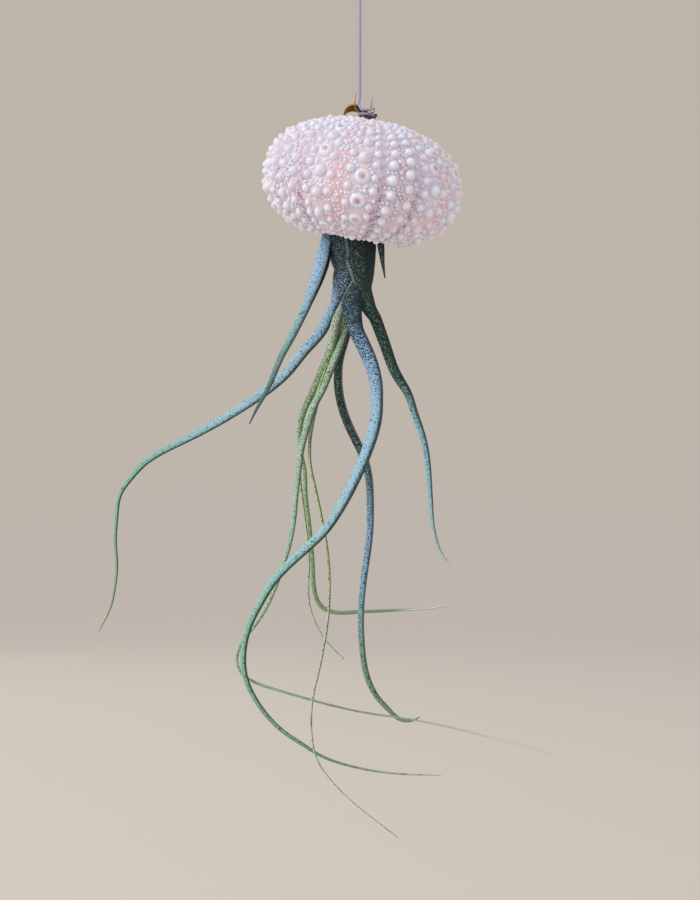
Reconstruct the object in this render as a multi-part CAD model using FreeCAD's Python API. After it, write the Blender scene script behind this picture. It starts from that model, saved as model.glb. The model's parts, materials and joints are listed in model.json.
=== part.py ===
import FreeCAD, Part
import math
import os
from FreeCAD import Placement, Rotation, Vector

# A cleaned sea urchin shell that hangs on a thread, with an air plant growing down through it.
# Millimetres. +Z is up, -Y is the front, and +X is to the right seen from the front.
# The origin is the point of the hanging loop that bears on a hook.

# Shell: two half ellipsoids of one width, hollow, tilted to the right and leaning forwards
shell_diameter = 74.6
shell_rise = 24.8
shell_fall = 23.0
shell_wall = 1.4
mouth_diameter = 34.0
top_hole_diameter = 13.4
shell_tilt_deg = 10.0
shell_lean_deg = 6.0
shell_centre = Vector(0.8, 0.2, -84.8)

# Thread, its hanging loop and the knot that everything swings on
thread_diameter = 1.1
loop_inner_diameter = 6.4
loop_foot_gap = 0.6
knot_diameter = 3.4
swing_drop = 12.4
turning_gap = 0.15
lead_rise = 6.0

# Tie: turns of the thread round the dry stub, which leans to one side of the shell's hole
stub_diameter = 4.0
stub_root_length = 8.0
rim_gap = 0.45
rim_bearing_deg = 153.4
winding_slack = 0.05
winding_gap = 0.45
winding_turns = 2
winding_head_inset = 0.1
winding_foot_sink = 0.25
winding_start_deg = 225.0
tie_knot_turn = 0.22
knot_standoff = 0.8
quarters_per_turn = 4
full_turn_deg = 360
tie_knot_diameter = 2.3
tail_length = 4.6
tail_diameter = 0.8
tail_lean_deg = 12.0

# Dry bits at the stub
arch_width = 2.4
arch_thickness = 0.6
curl_width = 1.0
scale_width = 2.2
scale_thickness = 0.6

# Plant: places of the bulb and leaves are shares of the rosette's span, from the mouth's level
rosette_span = 75.7
mouth_inset = 0.5
bulb_diameter = 16.6
leaf_flatness_share = 0.86
tip_diameter = 0.5

# The places above were judged from the front, level with this drop, at this distance
viewing_distance = 800.0
viewing_drop = 185.5

# The bulb below the shell: side, down, depth, and width as a share of the bulb's own diameter
bulb_lower_shares = [
    (-0.028, -0.030, 0.014, 1.00),
    (-0.028, 0.080, 0.012, 0.93),
    (-0.028, 0.170, 0.010, 0.85),
    (-0.024, 0.250, 0.008, 0.74),
    (-0.022, 0.310, 0.006, 0.56),
    (-0.022, 0.350, 0.006, 0.26),
]

# The bulb's shoulder in the shell's hole: height as a share of the shell's rise, width of the hole's
bulb_shoulder_shares = [
    (0.950, 0.70),
    (0.895, 0.98),
]

# The bulb inside the shell: height as a share of the shell's rise, width of the bulb's diameter
bulb_upper_shares = [
    (0.800, 0.95),
    (0.600, 1.00),
    (0.350, 1.03),
    (0.000, 1.03),
]

# Leaves: side, down, depth and width, each a share of the rosette's span
leaf_left_short_shares = [
    (-0.126, -0.160, 0.016, 0.045),
    (-0.150, -0.090, 0.004, 0.056),
    (-0.166, -0.020, -0.020, 0.062),
    (-0.190, 0.080, -0.055, 0.074),
    (-0.219, 0.175, -0.095, 0.065),
    (-0.255, 0.270, -0.135, 0.053),
    (-0.300, 0.370, -0.175, 0.045),
    (-0.350, 0.470, -0.215, 0.040),
    (-0.395, 0.555, -0.245, 0.035),
    (-0.460, 0.710, -0.290, 0.026),
    (-0.515, 0.810, -0.315, 0.017),
    (-0.555, 0.890, -0.335, 0.006),
]
leaf_left_long_shares = [
    (-0.070, 0.180, 0.020, 0.040),
    (-0.110, 0.220, 0.036, 0.048),
    (-0.125, 0.295, 0.050, 0.050),
    (-0.160, 0.370, 0.064, 0.058),
    (-0.190, 0.425, 0.076, 0.060),
    (-0.275, 0.525, 0.095, 0.055),
    (-0.355, 0.625, 0.115, 0.052),
    (-0.475, 0.730, 0.140, 0.050),
    (-0.655, 0.850, 0.175, 0.045),
    (-0.820, 0.942, 0.210, 0.042),
    (-0.985, 1.025, 0.245, 0.038),
    (-1.070, 1.080, 0.265, 0.035),
    (-1.148, 1.165, 0.285, 0.028),
    (-1.197, 1.240, 0.300, 0.023),
    (-1.215, 1.350, 0.315, 0.020),
    (-1.222, 1.475, 0.325, 0.018),
    (-1.215, 1.600, 0.330, 0.017),
    (-1.225, 1.705, 0.330, 0.015),
    (-1.243, 1.795, 0.325, 0.012),
    (-1.305, 1.925, 0.310, 0.006),
]
leaf_front_shares = [
    (-0.035, 0.185, 0.000, 0.055),
    (-0.045, 0.245, -0.020, 0.085),
    (-0.045, 0.300, -0.038, 0.100),
    (-0.035, 0.360, -0.056, 0.090),
    (-0.020, 0.420, -0.076, 0.076),
    (0.005, 0.475, -0.095, 0.074),
    (0.050, 0.575, -0.130, 0.070),
    (0.078, 0.680, -0.165, 0.065),
    (0.085, 0.770, -0.190, 0.058),
    (0.075, 0.885, -0.215, 0.060),
    (0.042, 1.000, -0.230, 0.057),
    (-0.003, 1.115, -0.235, 0.053),
    (-0.058, 1.230, -0.225, 0.052),
    (-0.123, 1.345, -0.200, 0.048),
    (-0.172, 1.415, -0.180, 0.046),
    (-0.257, 1.500, -0.150, 0.045),
    (-0.355, 1.590, -0.120, 0.042),
    (-0.428, 1.670, -0.095, 0.039),
    (-0.500, 1.785, -0.070, 0.037),
    (-0.555, 1.900, -0.045, 0.034),
    (-0.582, 2.020, -0.020, 0.031),
    (-0.572, 2.160, 0.005, 0.028),
    (-0.525, 2.265, 0.025, 0.025),
    (-0.455, 2.360, 0.045, 0.023),
    (-0.367, 2.440, 0.060, 0.021),
    (-0.282, 2.495, 0.075, 0.019),
    (-0.220, 2.535, 0.085, 0.016),
    (-0.065, 2.595, 0.100, 0.012),
    (0.155, 2.635, 0.115, 0.009),
    (0.405, 2.645, 0.125, 0.006),
]
leaf_right_shares = [
    (0.020, 0.170, 0.010, 0.055),
    (0.042, 0.240, 0.012, 0.068),
    (0.050, 0.300, 0.014, 0.068),
    (0.068, 0.350, 0.020, 0.065),
    (0.090, 0.400, 0.028, 0.062),
    (0.135, 0.525, 0.050, 0.057),
    (0.180, 0.640, 0.075, 0.053),
    (0.240, 0.740, 0.100, 0.043),
    (0.268, 0.820, 0.120, 0.038),
    (0.295, 0.895, 0.140, 0.035),
    (0.320, 0.975, 0.155, 0.032),
    (0.340, 1.095, 0.175, 0.031),
    (0.350, 1.215, 0.190, 0.026),
    (0.356, 1.300, 0.200, 0.023),
    (0.362, 1.375, 0.205, 0.020),
    (0.377, 1.455, 0.210, 0.018),
    (0.405, 1.535, 0.215, 0.015),
    (0.457, 1.600, 0.215, 0.010),
    (0.515, 1.645, 0.210, 0.006),
]
leaf_back_shares = [
    (-0.028, 0.240, 0.020, 0.028),
    (-0.036, 0.310, 0.060, 0.030),
    (-0.048, 0.380, 0.096, 0.032),
    (-0.070, 0.470, 0.122, 0.034),
    (-0.098, 0.560, 0.142, 0.040),
    (-0.109, 0.650, 0.150, 0.045),
    (-0.095, 0.780, 0.155, 0.045),
    (-0.043, 0.925, 0.150, 0.044),
    (0.010, 1.035, 0.140, 0.042),
    (0.037, 1.115, 0.130, 0.040),
    (0.052, 1.270, 0.115, 0.038),
    (0.049, 1.440, 0.102, 0.036),
    (0.030, 1.590, 0.094, 0.035),
    (0.008, 1.785, 0.086, 0.032),
    (0.012, 2.015, 0.086, 0.031),
    (0.042, 2.170, 0.090, 0.030),
    (0.090, 2.260, 0.098, 0.027),
    (0.140, 2.315, 0.106, 0.025),
    (0.190, 2.360, 0.114, 0.021),
    (0.240, 2.375, 0.120, 0.014),
    (0.300, 2.355, 0.126, 0.006),
]
leaf_light_shares = [
    (-0.040, 0.240, 0.010, 0.028),
    (-0.058, 0.330, 0.024, 0.032),
    (-0.080, 0.400, 0.032, 0.034),
    (-0.110, 0.500, 0.036, 0.036),
    (-0.165, 0.635, 0.038, 0.035),
    (-0.200, 0.730, 0.038, 0.035),
    (-0.232, 0.805, 0.038, 0.037),
    (-0.257, 0.880, 0.038, 0.039),
    (-0.290, 1.000, 0.036, 0.035),
    (-0.305, 1.115, 0.034, 0.030),
    (-0.318, 1.230, 0.032, 0.028),
    (-0.328, 1.345, 0.030, 0.027),
    (-0.355, 1.500, 0.032, 0.025),
    (-0.390, 1.615, 0.036, 0.022),
    (-0.450, 1.770, 0.044, 0.020),
    (-0.520, 1.890, 0.052, 0.018),
    (-0.575, 1.960, 0.056, 0.017),
    (-0.613, 2.040, 0.058, 0.017),
    (-0.603, 2.120, 0.056, 0.016),
    (-0.555, 2.165, 0.050, 0.015),
    (-0.430, 2.215, 0.034, 0.014),
    (-0.240, 2.270, 0.008, 0.012),
    (0.010, 2.330, -0.028, 0.010),
    (0.230, 2.363, -0.062, 0.009),
    (0.600, 2.443, -0.115, 0.008),
    (0.960, 2.540, -0.165, 0.006),
]
leaf_hooked_shares = [
    (-0.035, 0.240, 0.020, 0.030),
    (-0.062, 0.330, 0.070, 0.034),
    (-0.095, 0.420, 0.112, 0.038),
    (-0.145, 0.525, 0.148, 0.040),
    (-0.197, 0.650, 0.175, 0.037),
    (-0.235, 0.730, 0.188, 0.034),
    (-0.272, 0.805, 0.200, 0.032),
    (-0.295, 0.880, 0.212, 0.030),
    (-0.302, 0.970, 0.226, 0.026),
    (-0.292, 1.050, 0.240, 0.023),
    (-0.277, 1.120, 0.252, 0.022),
    (-0.272, 1.230, 0.270, 0.022),
    (-0.258, 1.350, 0.290, 0.022),
    (-0.245, 1.470, 0.310, 0.022),
    (-0.235, 1.600, 0.332, 0.023),
    (-0.224, 1.735, 0.354, 0.024),
    (-0.195, 1.798, 0.366, 0.024),
    (-0.150, 1.825, 0.374, 0.022),
    (-0.020, 1.830, 0.384, 0.020),
    (0.095, 1.825, 0.386, 0.017),
    (0.200, 1.820, 0.382, 0.014),
    (0.320, 1.813, 0.374, 0.011),
    (0.440, 1.795, 0.362, 0.006),
]
leaf_hair_shares = [
    (-0.046, 0.250, 0.020, 0.014),
    (-0.070, 0.330, 0.056, 0.014),
    (-0.100, 0.430, 0.086, 0.014),
    (-0.150, 0.560, 0.106, 0.014),
    (-0.215, 0.740, 0.122, 0.013),
    (-0.278, 0.950, 0.132, 0.012),
    (-0.300, 1.120, 0.138, 0.012),
    (-0.290, 1.245, 0.142, 0.012),
    (-0.265, 1.440, 0.146, 0.011),
    (-0.254, 1.600, 0.150, 0.010),
    (-0.256, 1.760, 0.152, 0.009),
    (-0.228, 1.870, 0.152, 0.008),
    (-0.160, 1.985, 0.148, 0.007),
    (-0.080, 2.065, 0.142, 0.006),
]
leaf_whip_shares = [
    (-0.050, 0.250, 0.014, 0.018),
    (-0.072, 0.345, 0.046, 0.018),
    (-0.095, 0.440, 0.066, 0.018),
    (-0.140, 0.570, 0.075, 0.018),
    (-0.190, 0.710, 0.076, 0.018),
    (-0.232, 0.860, 0.070, 0.018),
    (-0.252, 1.000, 0.058, 0.018),
    (-0.248, 1.100, 0.040, 0.017),
    (-0.225, 1.210, 0.010, 0.017),
    (-0.195, 1.350, -0.030, 0.016),
    (-0.163, 1.530, -0.056, 0.014),
    (-0.153, 1.700, -0.066, 0.014),
    (-0.162, 1.870, -0.076, 0.013),
    (-0.180, 1.990, -0.086, 0.013),
    (-0.208, 2.130, -0.100, 0.012),
    (-0.240, 2.280, -0.120, 0.011),
    (-0.245, 2.380, -0.136, 0.010),
    (-0.240, 2.470, -0.152, 0.009),
    (-0.210, 2.580, -0.172, 0.008),
    (-0.160, 2.655, -0.186, 0.007),
    (-0.050, 2.770, -0.208, 0.006),
    (0.060, 2.860, -0.226, 0.006),
    (0.185, 2.955, -0.244, 0.006),
]
leaf_spike_shares = [
    (0.074, -0.130, 0.016, 0.034),
    (0.094, -0.060, 0.012, 0.036),
    (0.106, 0.015, 0.008, 0.034),
    (0.113, 0.080, 0.004, 0.020),
    (0.125, 0.160, 0.000, 0.006),
]

# Dry bits: side, depth and height from the stub's top, shares of the wound stub's width, then
# width as a share of the bit's own
dry_leaf_arch_shares = [
    (-1.32, -0.03, -0.31, 0.35),
    (-1.18, 0.04, 0.03, 0.80),
    (-0.93, 0.14, 0.29, 1.00),
    (-0.64, 0.26, 0.34, 0.90),
    (-0.42, 0.28, 0.10, 0.70),
    (-0.23, 0.26, -0.15, 0.60),
]
dry_root_curl_shares = [
    (-0.57, 0.38, 1.10, 0.35),
    (-0.71, 0.40, 0.66, 0.80),
    (-0.64, 0.43, 0.20, 1.00),
    (-0.37, 0.43, -0.12, 1.00),
    (-0.15, 0.38, -0.33, 0.70),
]
dry_scales_shares = [
    [(0.24, 0.16, -0.58, 0.70), (0.43, 0.11, -0.39, 1.00), (0.65, 0.04, -0.26, 0.40)],
    [(0.04, 0.43, -0.23, 0.70), (0.17, 0.50, 0.04, 0.90), (0.31, 0.53, 0.31, 0.40)],
    [(-0.23, -0.33, -0.53, 0.60), (-0.30, -0.52, -0.47, 0.90), (-0.42, -0.69, -0.52, 0.40)],
]

sections_per_row = 2.5
up = Vector(0, 0, 1)
front = Vector(0, -1, 0)
shell_turn = Rotation(Vector(0, 1, 0), shell_tilt_deg) * Rotation(Vector(1, 0, 0), shell_lean_deg)
shell_place = Placement(shell_centre, shell_turn)
shell_axis = shell_turn.multVec(up)
mouth_drop = shell_fall + mouth_inset - shell_centre.z

# The stub's top, from the middle of the shell's hole towards the rim that its winding leans to. It
# stands as high as its winding, less the little that the winding's foot sinks into the hole
winding_pitch = thread_diameter + winding_gap
winding_height = winding_head_inset + winding_turns * winding_pitch + thread_diameter / 2
stub_stand = winding_height - winding_foot_sink
wound_diameter = stub_diameter + 2 * (winding_slack + thread_diameter)
hole_middle = shell_centre + shell_axis * shell_rise
rim_way = Rotation(up, rim_bearing_deg).multVec(Vector(1, 0, 0))
stub_offset = (top_hole_diameter - wound_diameter) / 2 - rim_gap
stub_top = hole_middle + rim_way * stub_offset + up * stub_stand
thread_foot_drop = -stub_top.z - lead_rise


def plant_place(side_share, down_share, depth_share):
    """A place in the plant, from its shares of the rosette's span, spread out with its depth."""
    depth = depth_share * rosette_span
    spread = 1 + depth / viewing_distance
    below_eye = mouth_drop + down_share * rosette_span - viewing_drop
    return Vector(side_share * rosette_span * spread, depth, -viewing_drop - below_eye * spread)


def arc_middle(start, heading, end):
    """The middle of the arc that leaves start along heading and reaches end."""
    chord = end - start
    chord_way = chord / chord.Length
    between = (heading + chord_way).normalize()
    return start + between * (chord.Length / 2 / between.dot(chord_way))


def biarc(start, heading, end, leaving):
    """Two tangent arcs that run from start along heading to end along leaving."""
    across = end - start
    along = across.dot(heading + leaving)
    spread = 2 * (1 - heading.dot(leaving))
    reach = (math.sqrt(along**2 + spread * across.dot(across)) - along) / spread
    joint = (start + heading * reach + end - leaving * reach) / 2
    first = Part.Arc(start, arc_middle(start, heading, joint), joint)
    second = Part.Arc(joint, arc_middle(end, leaving * -1, joint), end)
    return [first.toShape(), second.toShape()]


def tube(edges, diameter, heading):
    """A round cord along a wire of lines and tangent arcs that starts along heading."""
    start = edges[0].Vertexes[0].Point
    ring = Part.Wire(Part.makeCircle(diameter / 2, start, heading))
    return Part.Wire(edges).makePipeShell([ring], True, False)


def blade(places, widths, thicknesses, facing):
    """A tapering body through oval sections that stand square to a smooth line through places."""
    line = Part.BSplineCurve()
    line.interpolate(places)
    marks = [line.parameter(place) for place in places]
    count = max(len(places), int(len(places) * sections_per_row))
    rings = []
    for point in line.discretize(Number=count):
        here = line.parameter(point)
        after = next((k for k, mark in enumerate(marks) if mark >= here), len(marks) - 1)
        after = max(after, 1)
        share = (here - marks[after - 1]) / (marks[after] - marks[after - 1])
        share = min(max(share, 0), 1)
        width = widths[after - 1] + share * (widths[after] - widths[after - 1])
        thickness = thicknesses[after - 1] + share * (thicknesses[after] - thicknesses[after - 1])
        way = line.tangent(here)[0]
        thin_way = (facing - way * facing.dot(way)).normalize()
        wide_way = way.cross(thin_way)
        if width > thickness:
            rim = Part.Ellipse(point + wide_way * width / 2, point + thin_way * thickness / 2, point)
        else:
            rim = Part.Circle(point, way, width / 2)
        rings.append(Part.Wire(rim.toShape()))
    return Part.makeLoft(rings, True, True)


def leaf(rows):
    """One leaf from its rows of shares: a long taper, a little flatter than it is wide."""
    places = [plant_place(*row[:3]) for row in rows]
    widths = [max(row[3] * rosette_span, tip_diameter) for row in rows]
    thicknesses = [width * leaf_flatness_share for width in widths]
    return blade(places, widths, thicknesses, front)


def dry_bit(rows, width, thickness, facing):
    """A dry flake or root: a short thin blade from its rows of shares."""
    places = [stub_top + Vector(*row[:3]) * wound_diameter for row in rows]
    widths = [row[3] * width for row in rows]
    thicknesses = [min(row[3] * width * leaf_flatness_share, thickness) for row in rows]
    return blade(places, widths, thicknesses, facing)


def shell_wall_face(radius, rise, fall):
    """The half section of a closed shell, between its axis and its outline."""
    upper = Part.ArcOfEllipse(Part.Ellipse(Vector(0, 0, 0), radius, rise), 0, math.pi / 2)
    lower = Part.ArcOfEllipse(Part.Ellipse(Vector(0, 0, 0), radius, fall), -math.pi / 2, 0)
    axis_line = Part.LineSegment(Vector(0, rise, 0), Vector(0, -fall, 0))
    edges = [lower.toShape(), upper.toShape(), axis_line.toShape()]
    face = Part.Face(Part.Wire(edges))
    return face.rotate(Vector(0, 0, 0), Vector(1, 0, 0), full_turn_deg / quarters_per_turn)


def urchin_shell():
    """The hollow shell with its wide mouth below and the small hole on top."""
    radius = shell_diameter / 2
    outside = shell_wall_face(radius, shell_rise, shell_fall)
    inside = shell_wall_face(radius - shell_wall, shell_rise - shell_wall, shell_fall - shell_wall)
    body = outside.revolve(Vector(0, 0, 0), up, full_turn_deg)
    body = body.cut(inside.revolve(Vector(0, 0, 0), up, full_turn_deg))
    mouth = Part.makeCylinder(mouth_diameter / 2, shell_fall, Vector(0, 0, -shell_fall), up)
    top_hole = Part.makeCylinder(top_hole_diameter / 2, shell_rise, Vector(0, 0, 0), up)
    body = body.cut(mouth).cut(top_hole)
    body.Placement = shell_place
    return body


def hanging_loop():
    """The closed eye of thread: a round top whose two legs come together at the knot."""
    ring_radius = (loop_inner_diameter + thread_diameter) / 2
    top = thread_diameter / 2
    centre_drop = ring_radius - top
    foot_drop = swing_drop - knot_diameter / 4
    foot_half = (thread_diameter + loop_foot_gap) / 2
    drop = foot_drop - centre_drop
    far = math.hypot(drop, foot_half)
    bearing = math.atan2(-drop, foot_half) + math.acos(ring_radius / far)
    touch = Vector(ring_radius * math.cos(bearing), 0, ring_radius * math.sin(bearing) - centre_drop)
    foot = Vector(foot_half, 0, -foot_drop)
    left_foot = Vector(-foot.x, 0, foot.z)
    left_touch = Vector(-touch.x, 0, touch.z)
    edges = [
        Part.LineSegment(foot, touch).toShape(),
        Part.Arc(touch, Vector(0, 0, top), left_touch).toShape(),
        Part.LineSegment(left_touch, left_foot).toShape(),
    ]
    body = tube(edges, thread_diameter, touch - foot)
    clear = Part.makeSphere(knot_diameter / 2 + turning_gap, Vector(0, 0, -swing_drop))
    return body.cut(clear)


def loop_knot():
    """The round overhand knot under the loop, on which all below it swings."""
    return Part.makeSphere(knot_diameter / 2, Vector(0, 0, -swing_drop))


def hanging_thread():
    """The straight thread from the knot down to the tie."""
    head_drop = swing_drop + knot_diameter / 2 + turning_gap
    head = Vector(0, 0, -head_drop)
    return Part.makeCylinder(thread_diameter / 2, thread_foot_drop - head_drop, head, -up)


def winding_point(turn):
    """A point of the winding's centreline and its heading, after so many turns."""
    radius = (stub_diameter + thread_diameter) / 2 + winding_slack
    angle = math.radians(winding_start_deg) + 2 * math.pi * turn
    drop = winding_head_inset + winding_pitch * turn
    place = stub_top + Vector(radius * math.cos(angle), radius * math.sin(angle), -drop)
    slope = winding_pitch / (2 * math.pi)
    heading = Vector(-radius * math.sin(angle), radius * math.cos(angle), -slope)
    return place, heading / heading.Length


def tie_winding():
    """The lead that curves in from the thread, then the turns round the stub, as one tube."""
    head = Vector(0, 0, -thread_foot_drop - turning_gap)
    lead_foot = head - up * thread_diameter
    first, first_way = winding_point(0)
    edges = [Part.LineSegment(head, lead_foot).toShape()]
    edges += biarc(lead_foot, -up, first, first_way)
    for quarter in range(winding_turns * quarters_per_turn):
        start, heading = winding_point(quarter / quarters_per_turn)
        end, leaving = winding_point((quarter + 1) / quarters_per_turn)
        edges += biarc(start, heading, end, leaving)
    last, last_way = winding_point(winding_turns)
    edges.append(Part.LineSegment(last, last + last_way * thread_diameter).toShape())
    body = tube(edges, thread_diameter, -up)
    length = sum(edge.Length for edge in edges)
    section = math.pi * thread_diameter**2 / 4
    print("winding length", round(length, 2), "volume share", round(body.Volume / length / section, 4))
    arcs = [edge.Curve for edge in edges if edge.Curve.TypeId == "Part::GeomCircle"]
    print("winding radii", [round(arc.Radius, 2) for arc in arcs])
    print("winding gap to itself", round(gap_to_itself(edges), 3))
    return body


def gap_to_itself(edges):
    """The least gap between a cord's stretches that lie well apart along it."""
    points_per_arc = 12
    stretch_apart = math.pi * thread_diameter
    points = []
    along = 0
    for edge in edges:
        for point in edge.discretize(Number=points_per_arc)[:-1]:
            points.append((along + (point - edge.Vertexes[0].Point).Length, point))
        along += edge.Length
    least = along
    for k, (one, here) in enumerate(points):
        for other, there in points[k + 1:]:
            if other - one > stretch_apart:
                least = min(least, (there - here).Length)
    return least - thread_diameter


def knot_seat():
    """The middle of the tie's knot and its way out from the stub."""
    on_turn = winding_point(tie_knot_turn)[0]
    outward = Vector(on_turn.x - stub_top.x, on_turn.y - stub_top.y, 0).normalize()
    return on_turn + outward * knot_standoff, outward


def knot_lump():
    """The whole ball of the tie's knot, before the thread is taken out of it."""
    middle, outward = knot_seat()
    return Part.makeSphere(tie_knot_diameter / 2, middle)


def thread_tail(lump):
    """The free end of the thread, which stands up from the tie's knot."""
    middle, outward = knot_seat()
    lean = math.radians(tail_lean_deg)
    heading = up * math.cos(lean) + outward * math.sin(lean)
    return Part.makeCylinder(tail_diameter / 2, tail_length, middle, heading).cut(lump)


def stem_stub(bulb):
    """The dry stem that stands on the bulb, which the thread is wound round."""
    foot = stub_top - up * stub_root_length
    return largest(Part.makeCylinder(stub_diameter / 2, stub_root_length, foot, up).cut(bulb))


def bulb_core():
    """The plant's bulb, from its shoulder under the shell's hole to the crown that leaves grow from."""
    rings = []
    upper = [(height_share, share * top_hole_diameter) for height_share, share in bulb_shoulder_shares]
    upper += [(height_share, share * bulb_diameter) for height_share, share in bulb_upper_shares]
    for height_share, width in upper:
        middle = shell_centre + shell_axis * height_share * shell_rise
        rings.append(Part.Wire(Part.makeCircle(width / 2, middle, shell_axis)))
    for side, down, depth, width_share in bulb_lower_shares:
        middle = plant_place(side, down, depth)
        rings.append(Part.Wire(Part.makeCircle(width_share * bulb_diameter / 2, middle, up)))
    return Part.makeLoft(rings, True, False)


def largest(shape):
    """The largest solid of a cut piece, without the crumbs that the cut leaves."""
    return max(shape.Solids, key=lambda solid: solid.Volume)


def main():
    """Build every piece and write it to its own file."""
    bulb = bulb_core()
    stub = stem_stub(bulb)
    winding = tie_winding()
    lump = knot_lump()
    pieces = {
        "urchin_shell": urchin_shell(),
        "hanging_loop": hanging_loop(),
        "loop_knot": loop_knot(),
        "hanging_thread": hanging_thread(),
        "tie_winding": winding,
        "tie_knot": largest(lump.cut(winding).cut(stub)),
        "thread_tail": largest(thread_tail(lump)),
        "stem_stub": stub,
        "bulb_core": bulb,
    }
    arch = dry_bit(dry_leaf_arch_shares, arch_width, arch_thickness, up)
    curl = dry_bit(dry_root_curl_shares, curl_width, curl_width, front)
    flakes = [dry_bit(rows, scale_width, scale_thickness, up) for rows in dry_scales_shares]
    tie = [stub, winding, pieces["tie_knot"], bulb]
    pieces["dry_leaf_arch"] = largest(arch.cut(tie))
    pieces["dry_root_curl"] = largest(curl.cut(tie + [pieces["dry_leaf_arch"]]))
    dry = tie + [pieces["dry_leaf_arch"], pieces["dry_root_curl"]]
    pieces["dry_scales"] = Part.makeCompound([largest(flake.cut(dry)) for flake in flakes])
    leaves = {
        "leaf_left_short": leaf_left_short_shares,
        "leaf_left_long": leaf_left_long_shares,
        "leaf_front": leaf_front_shares,
        "leaf_right": leaf_right_shares,
        "leaf_back": leaf_back_shares,
        "leaf_light": leaf_light_shares,
        "leaf_hooked": leaf_hooked_shares,
        "leaf_hair": leaf_hair_shares,
        "leaf_whip": leaf_whip_shares,
        "leaf_spike": leaf_spike_shares,
    }
    grown = [bulb]
    for name, rows in leaves.items():
        pieces[name] = largest(leaf(rows).cut(grown))
        grown.append(pieces[name])
    os.makedirs("parts", exist_ok=True)
    for name, shape in pieces.items():
        shape.exportStep(os.path.join("parts", name + ".step"))
        print(name, len(shape.Solids), shape.isValid(), round(shape.Volume, 1))


main()
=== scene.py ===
# %% [markdown]
# A cleaned sea urchin shell hangs on a lilac thread, and an air plant grows down through it, so that
# the pair looks like a jellyfish. The pieces that carry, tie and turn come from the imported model.
# This script dresses them: it draws the shell's bosses, the twisted thread and the mottled leaves.

# %% Load the frame
import json
import math
import bpy
import numpy as np
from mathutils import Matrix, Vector


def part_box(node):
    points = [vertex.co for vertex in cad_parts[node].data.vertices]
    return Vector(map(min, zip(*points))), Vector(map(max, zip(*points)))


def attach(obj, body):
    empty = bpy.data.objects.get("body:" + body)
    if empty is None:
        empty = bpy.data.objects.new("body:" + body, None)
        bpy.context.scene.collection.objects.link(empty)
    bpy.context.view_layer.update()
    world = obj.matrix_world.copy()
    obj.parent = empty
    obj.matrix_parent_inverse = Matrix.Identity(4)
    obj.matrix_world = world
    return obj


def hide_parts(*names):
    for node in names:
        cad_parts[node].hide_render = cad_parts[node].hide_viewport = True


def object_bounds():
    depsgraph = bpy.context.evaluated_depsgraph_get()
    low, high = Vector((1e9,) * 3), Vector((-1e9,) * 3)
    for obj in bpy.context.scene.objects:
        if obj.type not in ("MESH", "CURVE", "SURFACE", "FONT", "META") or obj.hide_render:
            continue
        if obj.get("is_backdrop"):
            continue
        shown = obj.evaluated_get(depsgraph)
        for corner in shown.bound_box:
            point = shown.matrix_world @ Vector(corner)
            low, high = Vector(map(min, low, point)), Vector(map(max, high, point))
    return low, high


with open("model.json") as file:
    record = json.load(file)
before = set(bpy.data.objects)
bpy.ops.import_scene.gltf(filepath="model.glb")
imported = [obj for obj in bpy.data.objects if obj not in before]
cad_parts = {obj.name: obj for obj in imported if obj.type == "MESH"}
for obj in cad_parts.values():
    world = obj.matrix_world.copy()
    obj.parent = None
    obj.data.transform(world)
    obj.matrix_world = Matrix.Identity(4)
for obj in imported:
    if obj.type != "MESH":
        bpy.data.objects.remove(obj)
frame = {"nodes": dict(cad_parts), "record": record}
cad_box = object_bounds()
joints = {joint["name"]: joint for joint in frame["record"]["behaviour"]["joints"]}
mm = 0.001
print("pieces in the frame:", len(frame["nodes"]))

# %% [markdown]
# The camera comes first, because everything is judged through it. The photograph was taken level with
# the middle of the plant from about 0.8 m, and a tall picture's longer side takes the sensor's width.

# %% Camera
picture_height_px = 900
mm_per_px = 0.3785
eye_distance = 800 * mm
eye_side = -3.8 * mm
eye_drop = 185.5 * mm
sensor_width = 36

camera_data = bpy.data.cameras.new("camera")
camera_data.sensor_width = sensor_width
camera_data.lens = sensor_width * eye_distance / (picture_height_px * mm_per_px * mm)
camera_data.clip_end = 10
camera = bpy.data.objects.new("camera", camera_data)
camera.location = (eye_side, -eye_distance, -eye_drop)
camera.rotation_euler = (math.pi / 2, 0, 0)
bpy.context.collection.objects.link(camera)
bpy.context.scene.camera = camera
print("lens in mm:", round(camera_data.lens, 1))

# %% [markdown]
# Surfaces are written as sums. A Field is one output of a node, and Python's own operators add the
# Math nodes, so a mask can be typed as 1 - spots * 0.5. Every other node comes from one method, which
# takes the node's kind, its settings and what goes into its sockets.

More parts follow.
